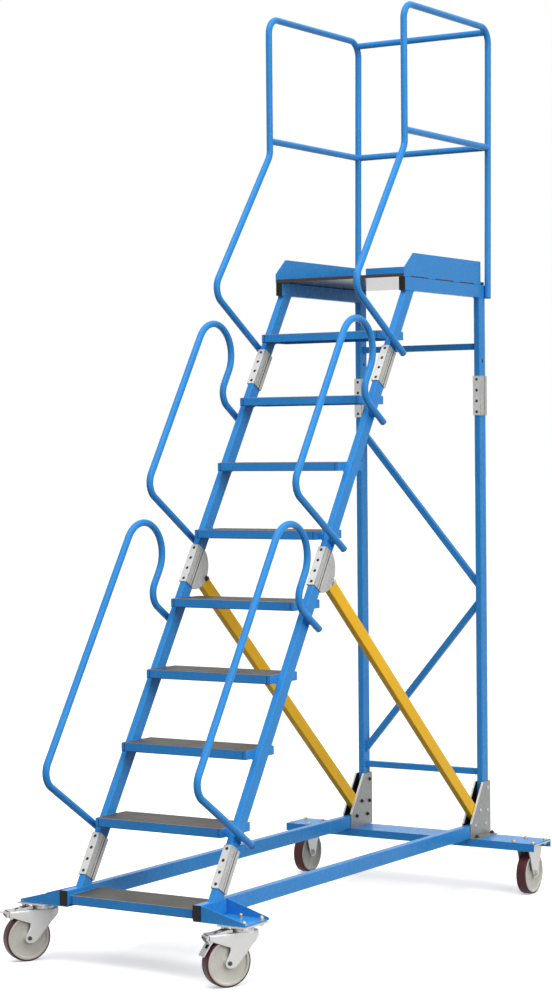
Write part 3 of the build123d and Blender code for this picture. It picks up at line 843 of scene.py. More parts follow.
class Trees:
    """The Geometry Nodes trees that set fasteners and lay weld beads."""

    turn_seed: int = 7
    drop_seed: int = 3
    drop_sizes: Point = (0.8, 1.15)

    def __init__(self) -> None:
        """Build both trees."""
        self.fasteners = self.fastener_tree()
        self.beads = self.bead_tree()

    @staticmethod
    def start(name: str, sockets: dict[str, str]) -> tuple[bpy.types.NodeTree, bpy.types.Node]:
        """Start a tree with geometry in and out.

        Args:
            name: the tree's name.
            sockets: the kind of each further input, by name.

        Returns:
            The tree and its input node.
        """
        tree = bpy.data.node_groups.new(name, "GeometryNodeTree")
        tree.interface.new_socket("Geometry", in_out="OUTPUT", socket_type="NodeSocketGeometry")
        for label, kind in {"Geometry": "Geometry", **sockets}.items():
            tree.interface.new_socket(label, in_out="INPUT", socket_type="NodeSocket" + kind)
        return tree, wire(tree, "NodeGroupInput")

    @staticmethod
    def close(tree: bpy.types.NodeTree, shape: bpy.types.NodeSocket, metal: bpy.types.NodeSocket) -> None:
        """End a tree by making its copies real and giving them their finish.

        Args:
            tree: the tree.
            shape: the copies.
            metal: their material.
        """
        solid = wire(tree, "GeometryNodeRealizeInstances", {"Geometry": shape})
        inputs = {"Geometry": solid.outputs["Geometry"], "Material": metal}
        done = wire(tree, "GeometryNodeSetMaterial", inputs)
        wire(tree, "NodeGroupOutput", {"Geometry": done.outputs["Geometry"]})

    @staticmethod
    def chance(tree: bpy.types.NodeTree, low: float, high: float, seed: int) -> bpy.types.NodeSocket:
        """A random value between two others for each copy.

        Args:
            tree: the tree that gets the node.
            low: the lowest value.
            high: the highest value.
            seed: the fixed seed.

        Returns:
            The value.
        """
        inputs = {"Min": low, "Max": high, "Seed": seed}
        node = wire(tree, "FunctionNodeRandomValue", inputs, data_type="FLOAT")
        return next(socket for socket in node.outputs if socket.enabled)

    def fastener_tree(self) -> bpy.types.NodeTree:
        """A copy of the head at each point, aimed along the point's axis and turned at random.

        Returns:
            The tree.
        """
        tree, given = self.start("set_fasteners", {"Head": "Object", "Turn": "Float", "Finish": "Material"})
        head = wire(tree, "GeometryNodeObjectInfo", {"Object": given.outputs["Head"]})
        axis = wire(tree, "GeometryNodeInputNamedAttribute", {"Name": "axis"}, data_type="FLOAT_VECTOR")
        aim = wire(tree, "FunctionNodeAlignRotationToVector", {"Vector": axis.outputs["Attribute"]}, axis="Z")
        chance = self.chance(tree, 0.0, 1.0, self.turn_seed)
        angle = combine(tree, "MULTIPLY", chance, given.outputs["Turn"])
        spin = wire(tree, "FunctionNodeAxisAngleToRotation", {"Axis": (0.0, 0.0, 1.0), "Angle": angle})
        turned = wire(
            tree, "FunctionNodeRotateRotation",
            {"Rotation": aim.outputs["Rotation"], "Rotate By": spin.outputs["Rotation"]},
            rotation_space="LOCAL",
        )
        copies = wire(
            tree, "GeometryNodeInstanceOnPoints",
            {"Points": given.outputs["Geometry"], "Instance": head.outputs["Geometry"],
             "Rotation": turned.outputs["Rotation"]},
        )
        self.close(tree, copies.outputs["Instances"], given.outputs["Finish"])
        return tree

    def bead_tree(self) -> bpy.types.NodeTree:
        """Overlapping round drops along each edge, as a weld leaves them.

        Returns:
            The tree.
        """
        tree, given = self.start(
            "lay_beads", {"Bead radius": "Float", "Bead pitch": "Float", "Finish": "Material"}
        )
        path = wire(tree, "GeometryNodeMeshToCurve", {"Mesh": given.outputs["Geometry"]})
        spots = wire(
            tree, "GeometryNodeResampleCurve",
            {"Curve": path.outputs["Curve"], "Length": given.outputs["Bead pitch"]}, mode="LENGTH",
        )
        ball = {"Radius": given.outputs["Bead radius"], "Subdivisions": 1}
        drop = wire(tree, "GeometryNodeMeshIcoSphere", ball)
        size = self.chance(tree, *self.drop_sizes, self.drop_seed)
        copies = wire(
            tree, "GeometryNodeInstanceOnPoints",
            {"Points": spots.outputs["Curve"], "Instance": drop.outputs["Mesh"], "Scale": size},
        )
        smooth = wire(tree, "GeometryNodeSetShadeSmooth", {"Geometry": copies.outputs["Instances"]})
        self.close(tree, smooth.outputs["Geometry"], given.outputs["Finish"])
        return tree


@dataclass
class Workshop:
    """Keeps the frame, the finishes and the trees, and turns forms into pieces."""

    frame: dict
    finishes: dict[Finish, bpy.types.Material] = field(default_factory=all_finishes)
    trees: Trees = field(default_factory=Trees)
    root: str = "ladder"
    bevel_segments: int = 2
    bevel_angle: float = 40.0
    bead_pitch_share: float = 1.3

    def corners(self, node: str) -> tuple[Vector, Vector]:
        """The lowest and highest corner of a node, in millimetres."""
        low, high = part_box(node)
        return Vector(low) / MM, Vector(high) / MM

    def joint(self, name: str) -> tuple[Vector, Vector]:
        """A joint's place in millimetres and its axis."""
        found = next(j for j in self.frame["joints"] if j["name"] == name)
        return Vector(found["pos_m"]) / MM, Vector(found["axis"])

    def dress_nodes(self) -> None:
        """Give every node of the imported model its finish."""
        for part in self.frame["record"]["subparts"]:
            node = self.frame["nodes"][part["node"]]
            node.data.materials.clear()
            finish = NODE_FINISH.get(part["node"], SLOT_FINISH[part["material_slot"]])
            node.data.materials.append(self.finishes[finish])

    def piece(
        self, mesh: bpy.types.Mesh, slot: str, body: str | None = None, finishes: Sequence[Finish] = (),
        replaces: Sequence[str] = (), bevel: float = 0.0, wall: float = 0.0,
    ) -> bpy.types.Object:
        """Make a mesh a piece of the ladder.

        Args:
            mesh: the finished mesh, which also names the piece.
            slot: the material slot of the record; not used.
            body: the body that it rides on.
            finishes: its finishes, in the order of its material indices.
            replaces: the nodes that it stands for.
            bevel: the width of its rounded edges in millimetres.
            wall: the thickness given to an open sheet, in millimetres.

        Returns:
            The piece.
        """
        thing = put(mesh.name, mesh)
        for finish in finishes:
            mesh.materials.append(self.finishes[finish])
        if wall:
            shell = thing.modifiers.new("wall", "SOLIDIFY")
            shell.thickness = wall * MM
            shell.offset = -1.0
            shell.use_even_offset = True
        if bevel:
            edge = thing.modifiers.new("edges", "BEVEL")
            edge.width = bevel * MM
            edge.segments = self.bevel_segments
            edge.limit_method = "ANGLE"
            edge.angle_limit = math.radians(self.bevel_angle)
        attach(thing, body or self.root)
        if replaces:
            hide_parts(*replaces)
        LOG.info("piece %-28s %6d faces on %s", mesh.name, len(mesh.polygons), body or self.root)
        return thing

    def grow(self, name: str, base: bpy.types.Mesh, tree: bpy.types.NodeTree, inputs: dict) -> bpy.types.Mesh:
        """Run a tree on a base mesh and keep the result as a plain mesh.

        Args:
            name: the result's name.
            base: the points or edges that the tree works on.
            tree: the tree.
            inputs: its inputs by name.

        Returns:
            The plain mesh.
        """
        carrier = put(name + "_base", base)
        modifier = carrier.modifiers.new("grow", "NODES")
        modifier.node_group = tree
        for item in tree.interface.items_tree:
            if item.in_out == "INPUT" and item.name in inputs:
                modifier[item.identifier] = inputs[item.name]
        graph = bpy.context.evaluated_depsgraph_get()
        mesh = bpy.data.meshes.new_from_object(carrier.evaluated_get(graph))
        carrier.modifiers.remove(modifier)
        bpy.data.objects.remove(carrier)
        mesh.name = name
        return mesh

    def fasten(
        self, name: str, kind: Fastener, spots: Iterable[tuple[Sequence[float], Sequence[float]]],
        finish: Finish, slot: str, body: str | None = None, turn: float = math.tau,
    ) -> bpy.types.Object:
        """Set a fastener at each spot.

        Args:
            name: the piece's name.
            kind: the fastener.
            spots: the place in millimetres and the outward direction of each.
            finish: its finish.
            slot: the material slot of the record.
            body: the body that it rides on.
            turn: how far each may be turned at random, in radians.

        Returns:
            The piece.
        """
        places, ways = zip(*spots)
        base = bpy.data.meshes.new(name + "_spots")
        base.from_pydata([tuple(Vector(p) * MM) for p in places], [], [])
        held = base.attributes.new("axis", "FLOAT_VECTOR", "POINT")
        for index, way in enumerate(ways):
            held.data[index].vector = way
        head = put(name + "_head", kind.form().mesh(name + "_head"))
        inputs = {"Head": head, "Turn": turn, "Finish": self.finishes[finish]}
        mesh = self.grow(name, base, self.trees.fasteners, inputs)
        bpy.data.objects.remove(head)
        return self.piece(mesh, slot, body)

    def weld(
        self, name: str, paths: Iterable[Sequence[Sequence[float]]], slot: str, finish: Finish,
        radius: float = 2.6, body: str | None = None,
    ) -> bpy.types.Object:
        """Lay weld beads along paths.

        Args:
            name: the piece's name.
            paths: each a list of points in millimetres.
            slot: the material slot of the record.
            finish: the beads' finish.
            radius: the radius of a drop.
            body: the body that it rides on.

        Returns:
            The piece.
        """
        verts: list[Vector] = []
        edges: list[tuple[int, int]] = []
        for path in paths:
            first = len(verts)
            verts += [Vector(point) * MM for point in path]
            edges += [(i, i + 1) for i in range(first, len(verts) - 1)]
        base = bpy.data.meshes.new(name + "_paths")
        base.from_pydata(verts, edges, [])
        pitch = radius * self.bead_pitch_share
        inputs = {"Bead radius": radius * MM, "Bead pitch": pitch * MM, "Finish": self.finishes[finish]}
        return self.piece(self.grow(name, base, self.trees.beads, inputs), slot, body)


@dataclass
class Stair:
    """The plywood boards of the steps and what joins the steps to the side frames."""

    shop: Workshop
    count: int = 9
    board_t: float = 15.0
    proud: float = 1.2
    board_edge: float = 0.8
    frame_wall: float = 2.5
    frame_height: float = 30.0
    tube_depth: float = 50.0
    seam_inset: float = 13.0
    seam_w: float = 2.2
    seam_t: float = 0.35
    seam_sunk: float = 1.0
    weld_off: float = 0.5
    weld_aside: float = 1.0
    weld_start: float = 4.0

    def __post_init__(self) -> None:
        """Work out the stair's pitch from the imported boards."""
        self.low, self.high = self.shop.corners("step_boards")
        self.frame_low, self.frame_high = self.shop.corners("step_frames")
        lower, lower_high = self.shop.corners("stringers_lower")
        upper, _ = self.shop.corners("stringers_upper")
        self.rise = (self.high.z - self.low.z - self.board_t) / (self.count - 1)
        self.slope = math.atan2(upper.z - lower.z, upper.y - lower.y)
        self.going = self.rise / math.tan(self.slope)
        self.board_depth = self.high.y - self.low.y - (self.count - 1) * self.going
        half = self.tube_depth / 2
        self.line_y = lower.y + half * math.sin(self.slope)
        self.line_z = lower.z + half * math.cos(self.slope)
        self.tube_outer = lower_high.x

    def step_top(self, index: int) -> float:
        """The height of a step's top."""
        return self.low.z + self.board_t + index * self.rise

    def step_front(self, index: int) -> float:
        """Where the front of a step's frame lies along Y."""
        return self.frame_low.y + index * self.going

    def stringer_y(self, height: float, edge: float) -> float:
        """Where the side frame crosses a height, for its front (-1), middle (0) or rear (1) face."""
        reach = self.tube_depth / 2 / math.sin(self.slope)
        return self.line_y + (height - self.line_z) / math.tan(self.slope) + edge * reach

    def boards(self) -> None:
        """Lay a plywood board in each step."""
        form = Form()
        edge = self.board_edge
        for index in range(self.count):
            half = self.high.x - (self.frame_wall if index == 0 else 0)
            front = self.low.y + index * self.going
            top = self.step_top(index) + self.proud
            low_z = top - self.board_t - self.proud
            back = front + self.board_depth
            loops = []
            for inset, z in ((edge, low_z), (0, low_z + edge), (0, top - edge), (edge, top)):
                outline = oblong((-half + inset, front + inset), (half - inset, back - inset))
                loops.append([Vector((x, y, z)) for x, y in outline])
            rings = form.grid([loop + loop[:1] for loop in loops])
            form.bm.faces.new(rings[0][:4])
            form.bm.faces.new(rings[-1][:4])
        mesh = form.mesh("step_boards_dressed", smooth=20)
        self.shop.piece(mesh, "tread_plywood", finishes=[Finish.STEP], replaces=["step_boards"])

    def seams(self) -> None:
        """Paint dark strips of shade at the fold near each end of a step's front, and along its lower edge.
        """
        form = Form()
        half_w = self.seam_w / 2
        for index in range(self.count):
            face = self.step_front(index) - self.seam_t
            inside = self.step_front(index) + self.seam_sunk
            top = self.step_top(index)
            low = top - self.frame_height
            for side in SIDES.values():
                x = side * (self.frame_high.x - self.seam_inset)
                form.block((x - half_w, face, low + self.seam_w), (x + half_w, inside, top - self.seam_w))
            half = self.frame_high.x - self.seam_w
            form.block((-half, face, low), (half, inside, low + self.seam_w))
        # The strips are painted shade in a dark blue paint.
        self.shop.piece(form.mesh("step_seams"), "blue_paint", finishes=[Finish.SEAM])

    def welds(self) -> None:
        """Weld each step to the side frames, and the frames to rails and platform."""
        paths: list[list[tuple[float, float, float]]] = []
        for side in SIDES.values():
            x = side * self.frame_high.x
            inward, outward = x - side * self.weld_aside, x + side * self.weld_aside
            for index in range(1, self.count):
                top = self.step_top(index)
                low = top - self.frame_height
                for z in (top + self.weld_off, low - self.weld_off):
                    paths.append([(inward, self.stringer_y(z, edge), z) for edge in (-1, 1)])
                for edge in (-1, 1):
                    off = edge * self.weld_off
                    paths.append([(outward, self.stringer_y(z, edge) + off, z) for z in (low, top)])
            first = self.step_top(0) + self.weld_off
            inner = side * (self.frame_high.x - self.frame_wall) - side * self.weld_aside
            ends = (self.weld_start, self.board_depth)
            paths.append([(inner, self.step_front(0) + reach, first) for reach in ends])
            for z in (self.shop.corners("base_rails")[1].z, self.shop.corners("platform_beams")[0].z):
                front, back = self.stringer_y(z, -1), self.stringer_y(z, 1)
                loop = [(px, py, z) for px, py in oblong((x, front), (side * self.tube_outer, back))]
                paths.append(loop + loop[:1])
        self.shop.weld("step_welds", paths, "blue_paint", Finish.BLUE)


@dataclass
class Sleeves:
    """The folds and screws of the galvanised sleeves, and the bolts of the struts' upper ends."""

    shop: Workshop
    stair: Stair
    length: float = 155.0
    depth: float = 56.0
    width: float = 31.0
    steps: tuple[int, ...] = (0, 4, 7)
    screw_count: int = 4
    screw_margin: float = 14.0
    lap_t: float = 1.1
    lap_radius: float = 1.0
    lap_bevel: float = 0.3
    lap_shares: tuple[Point, ...] = ((0.02, 0.41), (0.45, 0.62), (0.70, 1.0))
    groove_shares: tuple[Point, ...] = ((0.41, 0.45), (0.62, 0.70))
    groove_t_share: float = 0.3
    face_t: float = 0.3
    face_inset: float = 1.0
    face_radius: float = 3.0
    gusset_bolt: Point = (-120.0, 1258.0)
    screw: Fastener = Fastener(Head.BUTTON, radius=4.2, height=2.2)
    # A thin dark ring under each screw head paints the shade round it.
    screw_shade: Fastener = Fastener(Head.RING, radius=5.6, height=0.5)
    nut: Fastener = Fastener(Head.NUT, radius=8.6, height=6.5, washer=10.5, washer_t=1.8, shank=5.0)

    def frames(self) -> list[Matrix]:
        """The frame of each sleeve: X to the side, Y out of its front face, Z along it.

        Returns:
            Each frame, centred in its sleeve.
        """
        low, high = self.shop.corners("sleeves_lower")
        centre = (low + high) / 2
        post_low, post_high = self.shop.corners("post_sleeves")
        post = (post_low + post_high) / 2
        slope = self.stair.slope
        out = Vector((0, -math.sin(slope), math.cos(slope)))
        along = Vector((0, math.cos(slope), math.sin(slope)))
        tube_x = high.x - self.width / 2
        found = []
        for side in SIDES.values():
            for step in self.steps:
                y, z = centre.y + step * self.stair.going, centre.z + step * self.stair.rise
                found.append(axes((side * tube_x, y, z), (1, 0, 0), out, along))
            found.append(axes((side * tube_x, post.y, post.z), (1, 0, 0), (0, -1, 0), (0, 0, 1)))
        return found

    def strip(self, shares: Point) -> list[Point]:
        """A strip along a sleeve's side face, between two shares of its depth."""
        start, end = (share * self.depth for share in shares)
        return oblong((start, 0), (end, self.length))

    def screws(self, places: Sequence[Matrix]) -> None:
        """Set the screws down the front face of each sleeve, each over a dark ring of painted shade.

        Args:
            places: the frame of each sleeve.
        """
        spacing = (self.length - 2 * self.screw_margin) / (self.screw_count - 1)
        spots = []
        for place in places:
            way = place.to_3x3() @ Vector((0, 1, 0))
            for index in range(self.screw_count):
                z = -self.length / 2 + self.screw_margin + index * spacing
                spots.append((place @ Vector((0, self.depth / 2, z)), way))
        self.shop.fasten("sleeve_screws", self.screw, spots, Finish.DARK, "zinc_plated")
        self.shop.fasten("sleeve_screw_holes", self.screw_shade, spots, Finish.GAP, "zinc_plated")

    def folds(self, places: Sequence[Matrix]) -> None:
        """Lay the laps, pale front faces that are painted light, and dark strips of painted shade in each
        groove between the laps.

        Args:
            places: the frame of each sleeve.
        """
        laps, groove_shade, faces = Form(), Form(), Form()
        half_l, half_d, half_w = self.length / 2, self.depth / 2, self.width / 2
        edge_w, edge_l = half_w - self.face_inset, half_l - self.face_inset
        face = rounded(oblong((-edge_w, -edge_l), (edge_w, edge_l)), [self.face_radius] * 4, 3)
        lie = Matrix.Translation((0, half_d + self.face_t, 0)) @ Matrix.Rotation(math.pi / 2, 4, "X")
        for place in places:
            turn = place.to_3x3()
            faces.prism(face, self.face_t, place @ lie)
            for side in SIDES.values():
                flat = axes(
                    place @ Vector((side * half_w, half_d, -half_l)), turn @ Vector((0, -1, 0)),
                    turn @ Vector((0, 0, 1)), turn @ Vector((side, 0, 0)),
                )
                for shares in self.lap_shares:
                    laps.prism(rounded(self.strip(shares), [self.lap_radius] * 4, 2), self.lap_t, flat)
                for shares in self.groove_shares:
                    # Dark strips of painted shade in each groove between the laps.
                    groove_shade.prism(self.strip(shares), self.lap_t * self.groove_t_share, flat)
        zinc = "galvanised"
        self.shop.piece(laps.mesh("sleeve_laps", 25), zinc, finishes=[Finish.SHEET], bevel=self.lap_bevel)
        # A paler zinc on the front faces paints the light that falls on them.
        self.shop.piece(faces.mesh("sleeve_faces"), zinc, finishes=[Finish.BRIGHT])
        self.shop.piece(groove_shade.mesh("sleeve_grooves"), zinc, finishes=[Finish.GAP])

    def gussets(self) -> None:
        """Bolt the struts between the cheeks of the middle sleeves."""
        outer = self.shop.corners("sleeves_middle")[1].x
        inner = outer - self.width
        y, z = self.gusset_bolt
        heads = [((side * outer, y, z), (side, 0, 0)) for side in SIDES.values()]
        nuts = [((side * inner, y, z), (-side, 0, 0)) for side in SIDES.values()]
        # Dark steel on the nuts of the inner side paints the shade there; the heads outside are bright zinc.
        self.shop.fasten("gusset_bolts", self.nut, heads, Finish.ZINC, "zinc_plated")
        self.shop.fasten("gusset_nuts", self.nut, nuts, Finish.DARK, "zinc_plated")

    def build(self) -> None:
        """Dress the sleeves."""
        places = self.frames()
        self.screws(places)
        self.folds(places)
        self.gussets()


@dataclass
class RearFrame:
    """Post feet's bolts, painted highlight and shade; painted shade at the post slots; beam bolts; braces'
    welds.
    """

    shop: Workshop
    cheek_spots: tuple[Point, ...] = (
        (1053.4, 386.0), (1050.4, 299.0), (989.4, 304.0), (1034.4, 247.0), (948.4, 249.0),
    )
    cheek_t: float = 4.0
    cheek_low_h: float = 57.0
    cheek_top_length: float = 63.0
    pocket_w: float = 30.0
    edge_w: float = 3.0
    edge_x: float = 7.0
    edge_sunk: float = 0.2
    edge_out_share: float = 0.15
    shade_t: float = 0.3
    shade_front: float = 1.0
    shade_inset_share: float = 0.5
    foot_t: float = 4.0
    foot_bolt_inset: float = 20.0
    foot_bolt_edge: float = 15.0
    slot_length: float = 14.0
    slot_width: float = 8.0
    slot_t: float = 0.3
    slot_z: float = 2065.0
    weld_radius: float = 2.2
    screw: Fastener = Fastener(Head.BUTTON, radius=7.0, height=3.4, washer=8.6, washer_t=0.8)
    back_nut: Fastener = Fastener(Head.NUT, radius=6.4, height=5.5, washer=8.0, washer_t=1.2, shank=3.6)
    foot_nut: Fastener = Fastener(Head.NUT, radius=7.6, height=6.5, washer=10.0, washer_t=1.6, shank=4.4)
    beam_dome: Fastener = Fastener(Head.DOME, radius=8.0, height=6.0, washer=9.5, washer_t=1.4)
    beam_nut: Fastener = Fastener(Head.NUT, radius=7.4, height=6.5, washer=8.6, washer_t=1.4, shank=4.0)

    def bracket_bolts(self) -> None:
        """Bolts through the cheeks and the feet of the brackets."""
        low, high = self.shop.corners("base_brackets")
        rail = self.shop.corners("base_rails")[1].x
        tube = self.shop.corners("stringers_lower")[1].x
        outer, inner = rail + self.cheek_t, 2 * tube - rail - TUBE_W - self.cheek_t
        spots, backs, feet = [], [], []
        for side in SIDES.values():
            for y, z in self.cheek_spots:
                spots.append(((side * outer, y, z), (side, 0, 0)))
                backs.append(((side * inner, y, z), (-side, 0, 0)))
            x = side * (high.x - self.foot_bolt_edge)
            for y in (low.y + self.foot_bolt_inset, high.y - self.foot_bolt_inset):
                feet.append(((x, y, low.z + self.foot_t), (0, 0, 1)))
        # Dark steel on the nuts of the inner cheeks paints the shade there; the screws outside are bright
        # zinc.
        self.shop.fasten("bracket_screws", self.screw, spots, Finish.ZINC, "zinc_plated")
        self.shop.fasten("bracket_nuts", self.back_nut, backs, Finish.DARK, "zinc_plated")
        self.shop.fasten("foot_nuts", self.foot_nut, feet, Finish.DARK, "zinc_plated")

    @staticmethod
    def slab(form: Form, outline: Sequence[Point], near: float, far: float, side: float) -> None:
        """Add an outline in Y and Z, as thick as the room between two distances from the middle.

        Args:
            form: the form that gets the slab.
            outline: its outline.
            near: the smaller distance.
            far: the larger distance.
            side: 1 on the right, -1 on the left.
        """
        start = min(side * near, side * far)
        form.prism(outline, far - near, axes((start, 0, 0), (0, 1, 0), (0, 0, 1), (1, 0, 0)))

    def bracket_trim(self) -> None:
        """A painted highlight along the cut edge of the cheeks' slopes, and painted shade inside the
        brackets.
        """
        low, high = self.shop.corners("base_brackets")
        rail = self.shop.corners("base_rails")[1].x
        back = self.shop.corners("rear_posts_lower")[1].y
        foot = Vector((low.y, low.z + self.cheek_low_h))
        head = Vector((back - self.cheek_top_length, high.z))
        across = (head - foot).normalized()
        inward = Vector((across.y, -across.x)) * self.edge_w
        out, under = inward * -self.edge_out_share, inward * self.shade_inset_share
        strip = [tuple(foot + out), tuple(foot + inward), tuple(head + inward), tuple(head + out)]
        cheek = [(low.y + self.shade_front, low.z), tuple(foot + under), tuple(head + under),
                 (back, high.z), (back, low.z)]
        edges, shade = Form(), Form()
        pocket = rail - self.pocket_w
        for side in SIDES.values():
            # Pale strips of painted highlight on the cut edges; thin dark sheets of painted shade inside.
            for x in (rail, pocket - self.cheek_t):
                self.slab(edges, strip, x - self.edge_sunk, x + self.edge_x, side)
            for x in (rail - self.shade_t, pocket):
                self.slab(shade, cheek, x, x + self.shade_t, side)
        self.shop.piece(edges.mesh("bracket_edges"), "galvanised", finishes=[Finish.BRIGHT])
        self.shop.piece(shade.mesh("bracket_shade"), "galvanised", finishes=[Finish.GAP])

    def post_slots(self) -> None:
        """A dark oval of painted shade at the slot in both side faces of each post."""
        low, high = self.shop.corners("rear_posts_upper")
        form = Form()
        middle = (low.y + high.y) / 2
        outline = slot_outline(self.slot_length, self.slot_width)
        for side in SIDES.values():
            for x, way in ((high.x, 1), (high.x - TUBE_W, -1)):
                place = axes((side * x, middle, self.slot_z), (0, 0, 1), (0, 1, 0), (side * way, 0, 0))
                form.prism(outline, self.slot_t, place)
        self.shop.piece(form.mesh("post_slots"), "black_plastic", finishes=[Finish.GAP])

    def beam_bolts(self) -> None:
        """Domed bolts on the beam over each rear caster, and their nuts below."""
        top = self.shop.corners("rear_beam")[1].z
        plate = self.shop.corners("caster_fork_rear_right")[1].z - PLATE_T
        heads, nuts = [], []
        for name in SIDES:
            centre, _ = self.shop.joint(f"spin_rear_{name}")
            for x, y in bolt_places(centre):
                heads.append(((x, y, top), (0, 0, 1)))
                nuts.append(((x, y, plate), (0, 0, -1)))
        self.shop.fasten("beam_bolts", self.beam_dome, heads, Finish.GOLD, "zinc_plated")
        self.shop.fasten("beam_nuts", self.beam_nut, nuts, Finish.ZINC, "zinc_plated")

    def welds(self) -> None:
        """Weld beads round the ends of the cross rails and round the tops of the posts."""
        low, high = self.shop.corners("cross_rails")
        post_low, post_high = self.shop.corners("rear_posts_upper")
        paths = []
        for side in SIDES.values():
            x = side * high.x
            for top in (high.z, low.z + TUBE_W):
                paths.append([(x, y, z) for y, z in oblong((low.y, top), (high.y, top - TUBE_W))])
            section = oblong((x, post_low.y), (side * post_high.x, post_high.y))
            paths.append([(px, py, post_high.z) for px, py in section])
        loops = [path + path[:1] for path in paths]
        self.shop.weld("frame_welds", loops, "blue_paint", Finish.BLUE, radius=self.weld_radius)

    def build(self) -> None:
        """Dress the rear frame."""
        self.bracket_bolts()
        self.bracket_trim()
        self.post_slots()
        self.beam_bolts()
        self.welds()


@dataclass
class Wheel:
    """One wheel: a dished nylon core with a bright rim, and a polyurethane tyre."""

    shop: Workshop
    place: str
    bore: float = 6.05
    half_hub: float = 23.0
    segments: int = 96
    core_shares: tuple[Point, ...] = (
        (0.0, 1.0), (0.15, 1.0), (0.20, 0.92), (0.25, 0.68), (0.33, 0.56), (0.62, 0.56), (0.79, 0.64),
        (0.825, 0.86), (0.85, 0.91), (0.905, 0.91), (0.925, 0.85),
    )
    tyre_shares: tuple[Point, ...] = ((0.925, 0.85), (0.94, 0.868), (0.985, 0.80), (0.997, 0.70), (1.0, 0.55))

    def ring(self, part: str, shares: Sequence[Point], slot: str, finish: Finish, smooth: float) -> None:
        """Turn one ring of the wheel from half of its profile.

        Args:
            part: what the ring is, in the names of its piece and its node.
            shares: radius and height of each point, as shares of the wheel's radius and of half the hub.
            slot: the material slot of the record.
            finish: its finish.
            smooth: edges turned more than this many degrees stay sharp.
        """
        centre, axis = self.shop.joint(f"spin_{self.place}")
        half = [(max(self.bore, r * centre.z), h * self.half_hub) for r, h in shares]
        form = Form()
        form.lathe(half + [(r, -h) for r, h in reversed(half)], stand(centre, axis), self.segments, ring=True)
        self.shop.piece(
            form.mesh(f"{part}_{self.place}", smooth), slot, f"wheel_{self.place}", [finish],
            [f"wheel_{part}_{self.place}"],
        )

    def build(self) -> None:
        """Turn the core and the tyre of the wheel."""
        self.ring("core", self.core_shares, "nylon_core", Finish.NYLON, 28)
        self.ring("tyre", self.tyre_shares, "tyre_polyurethane", Finish.TYRE, 40)


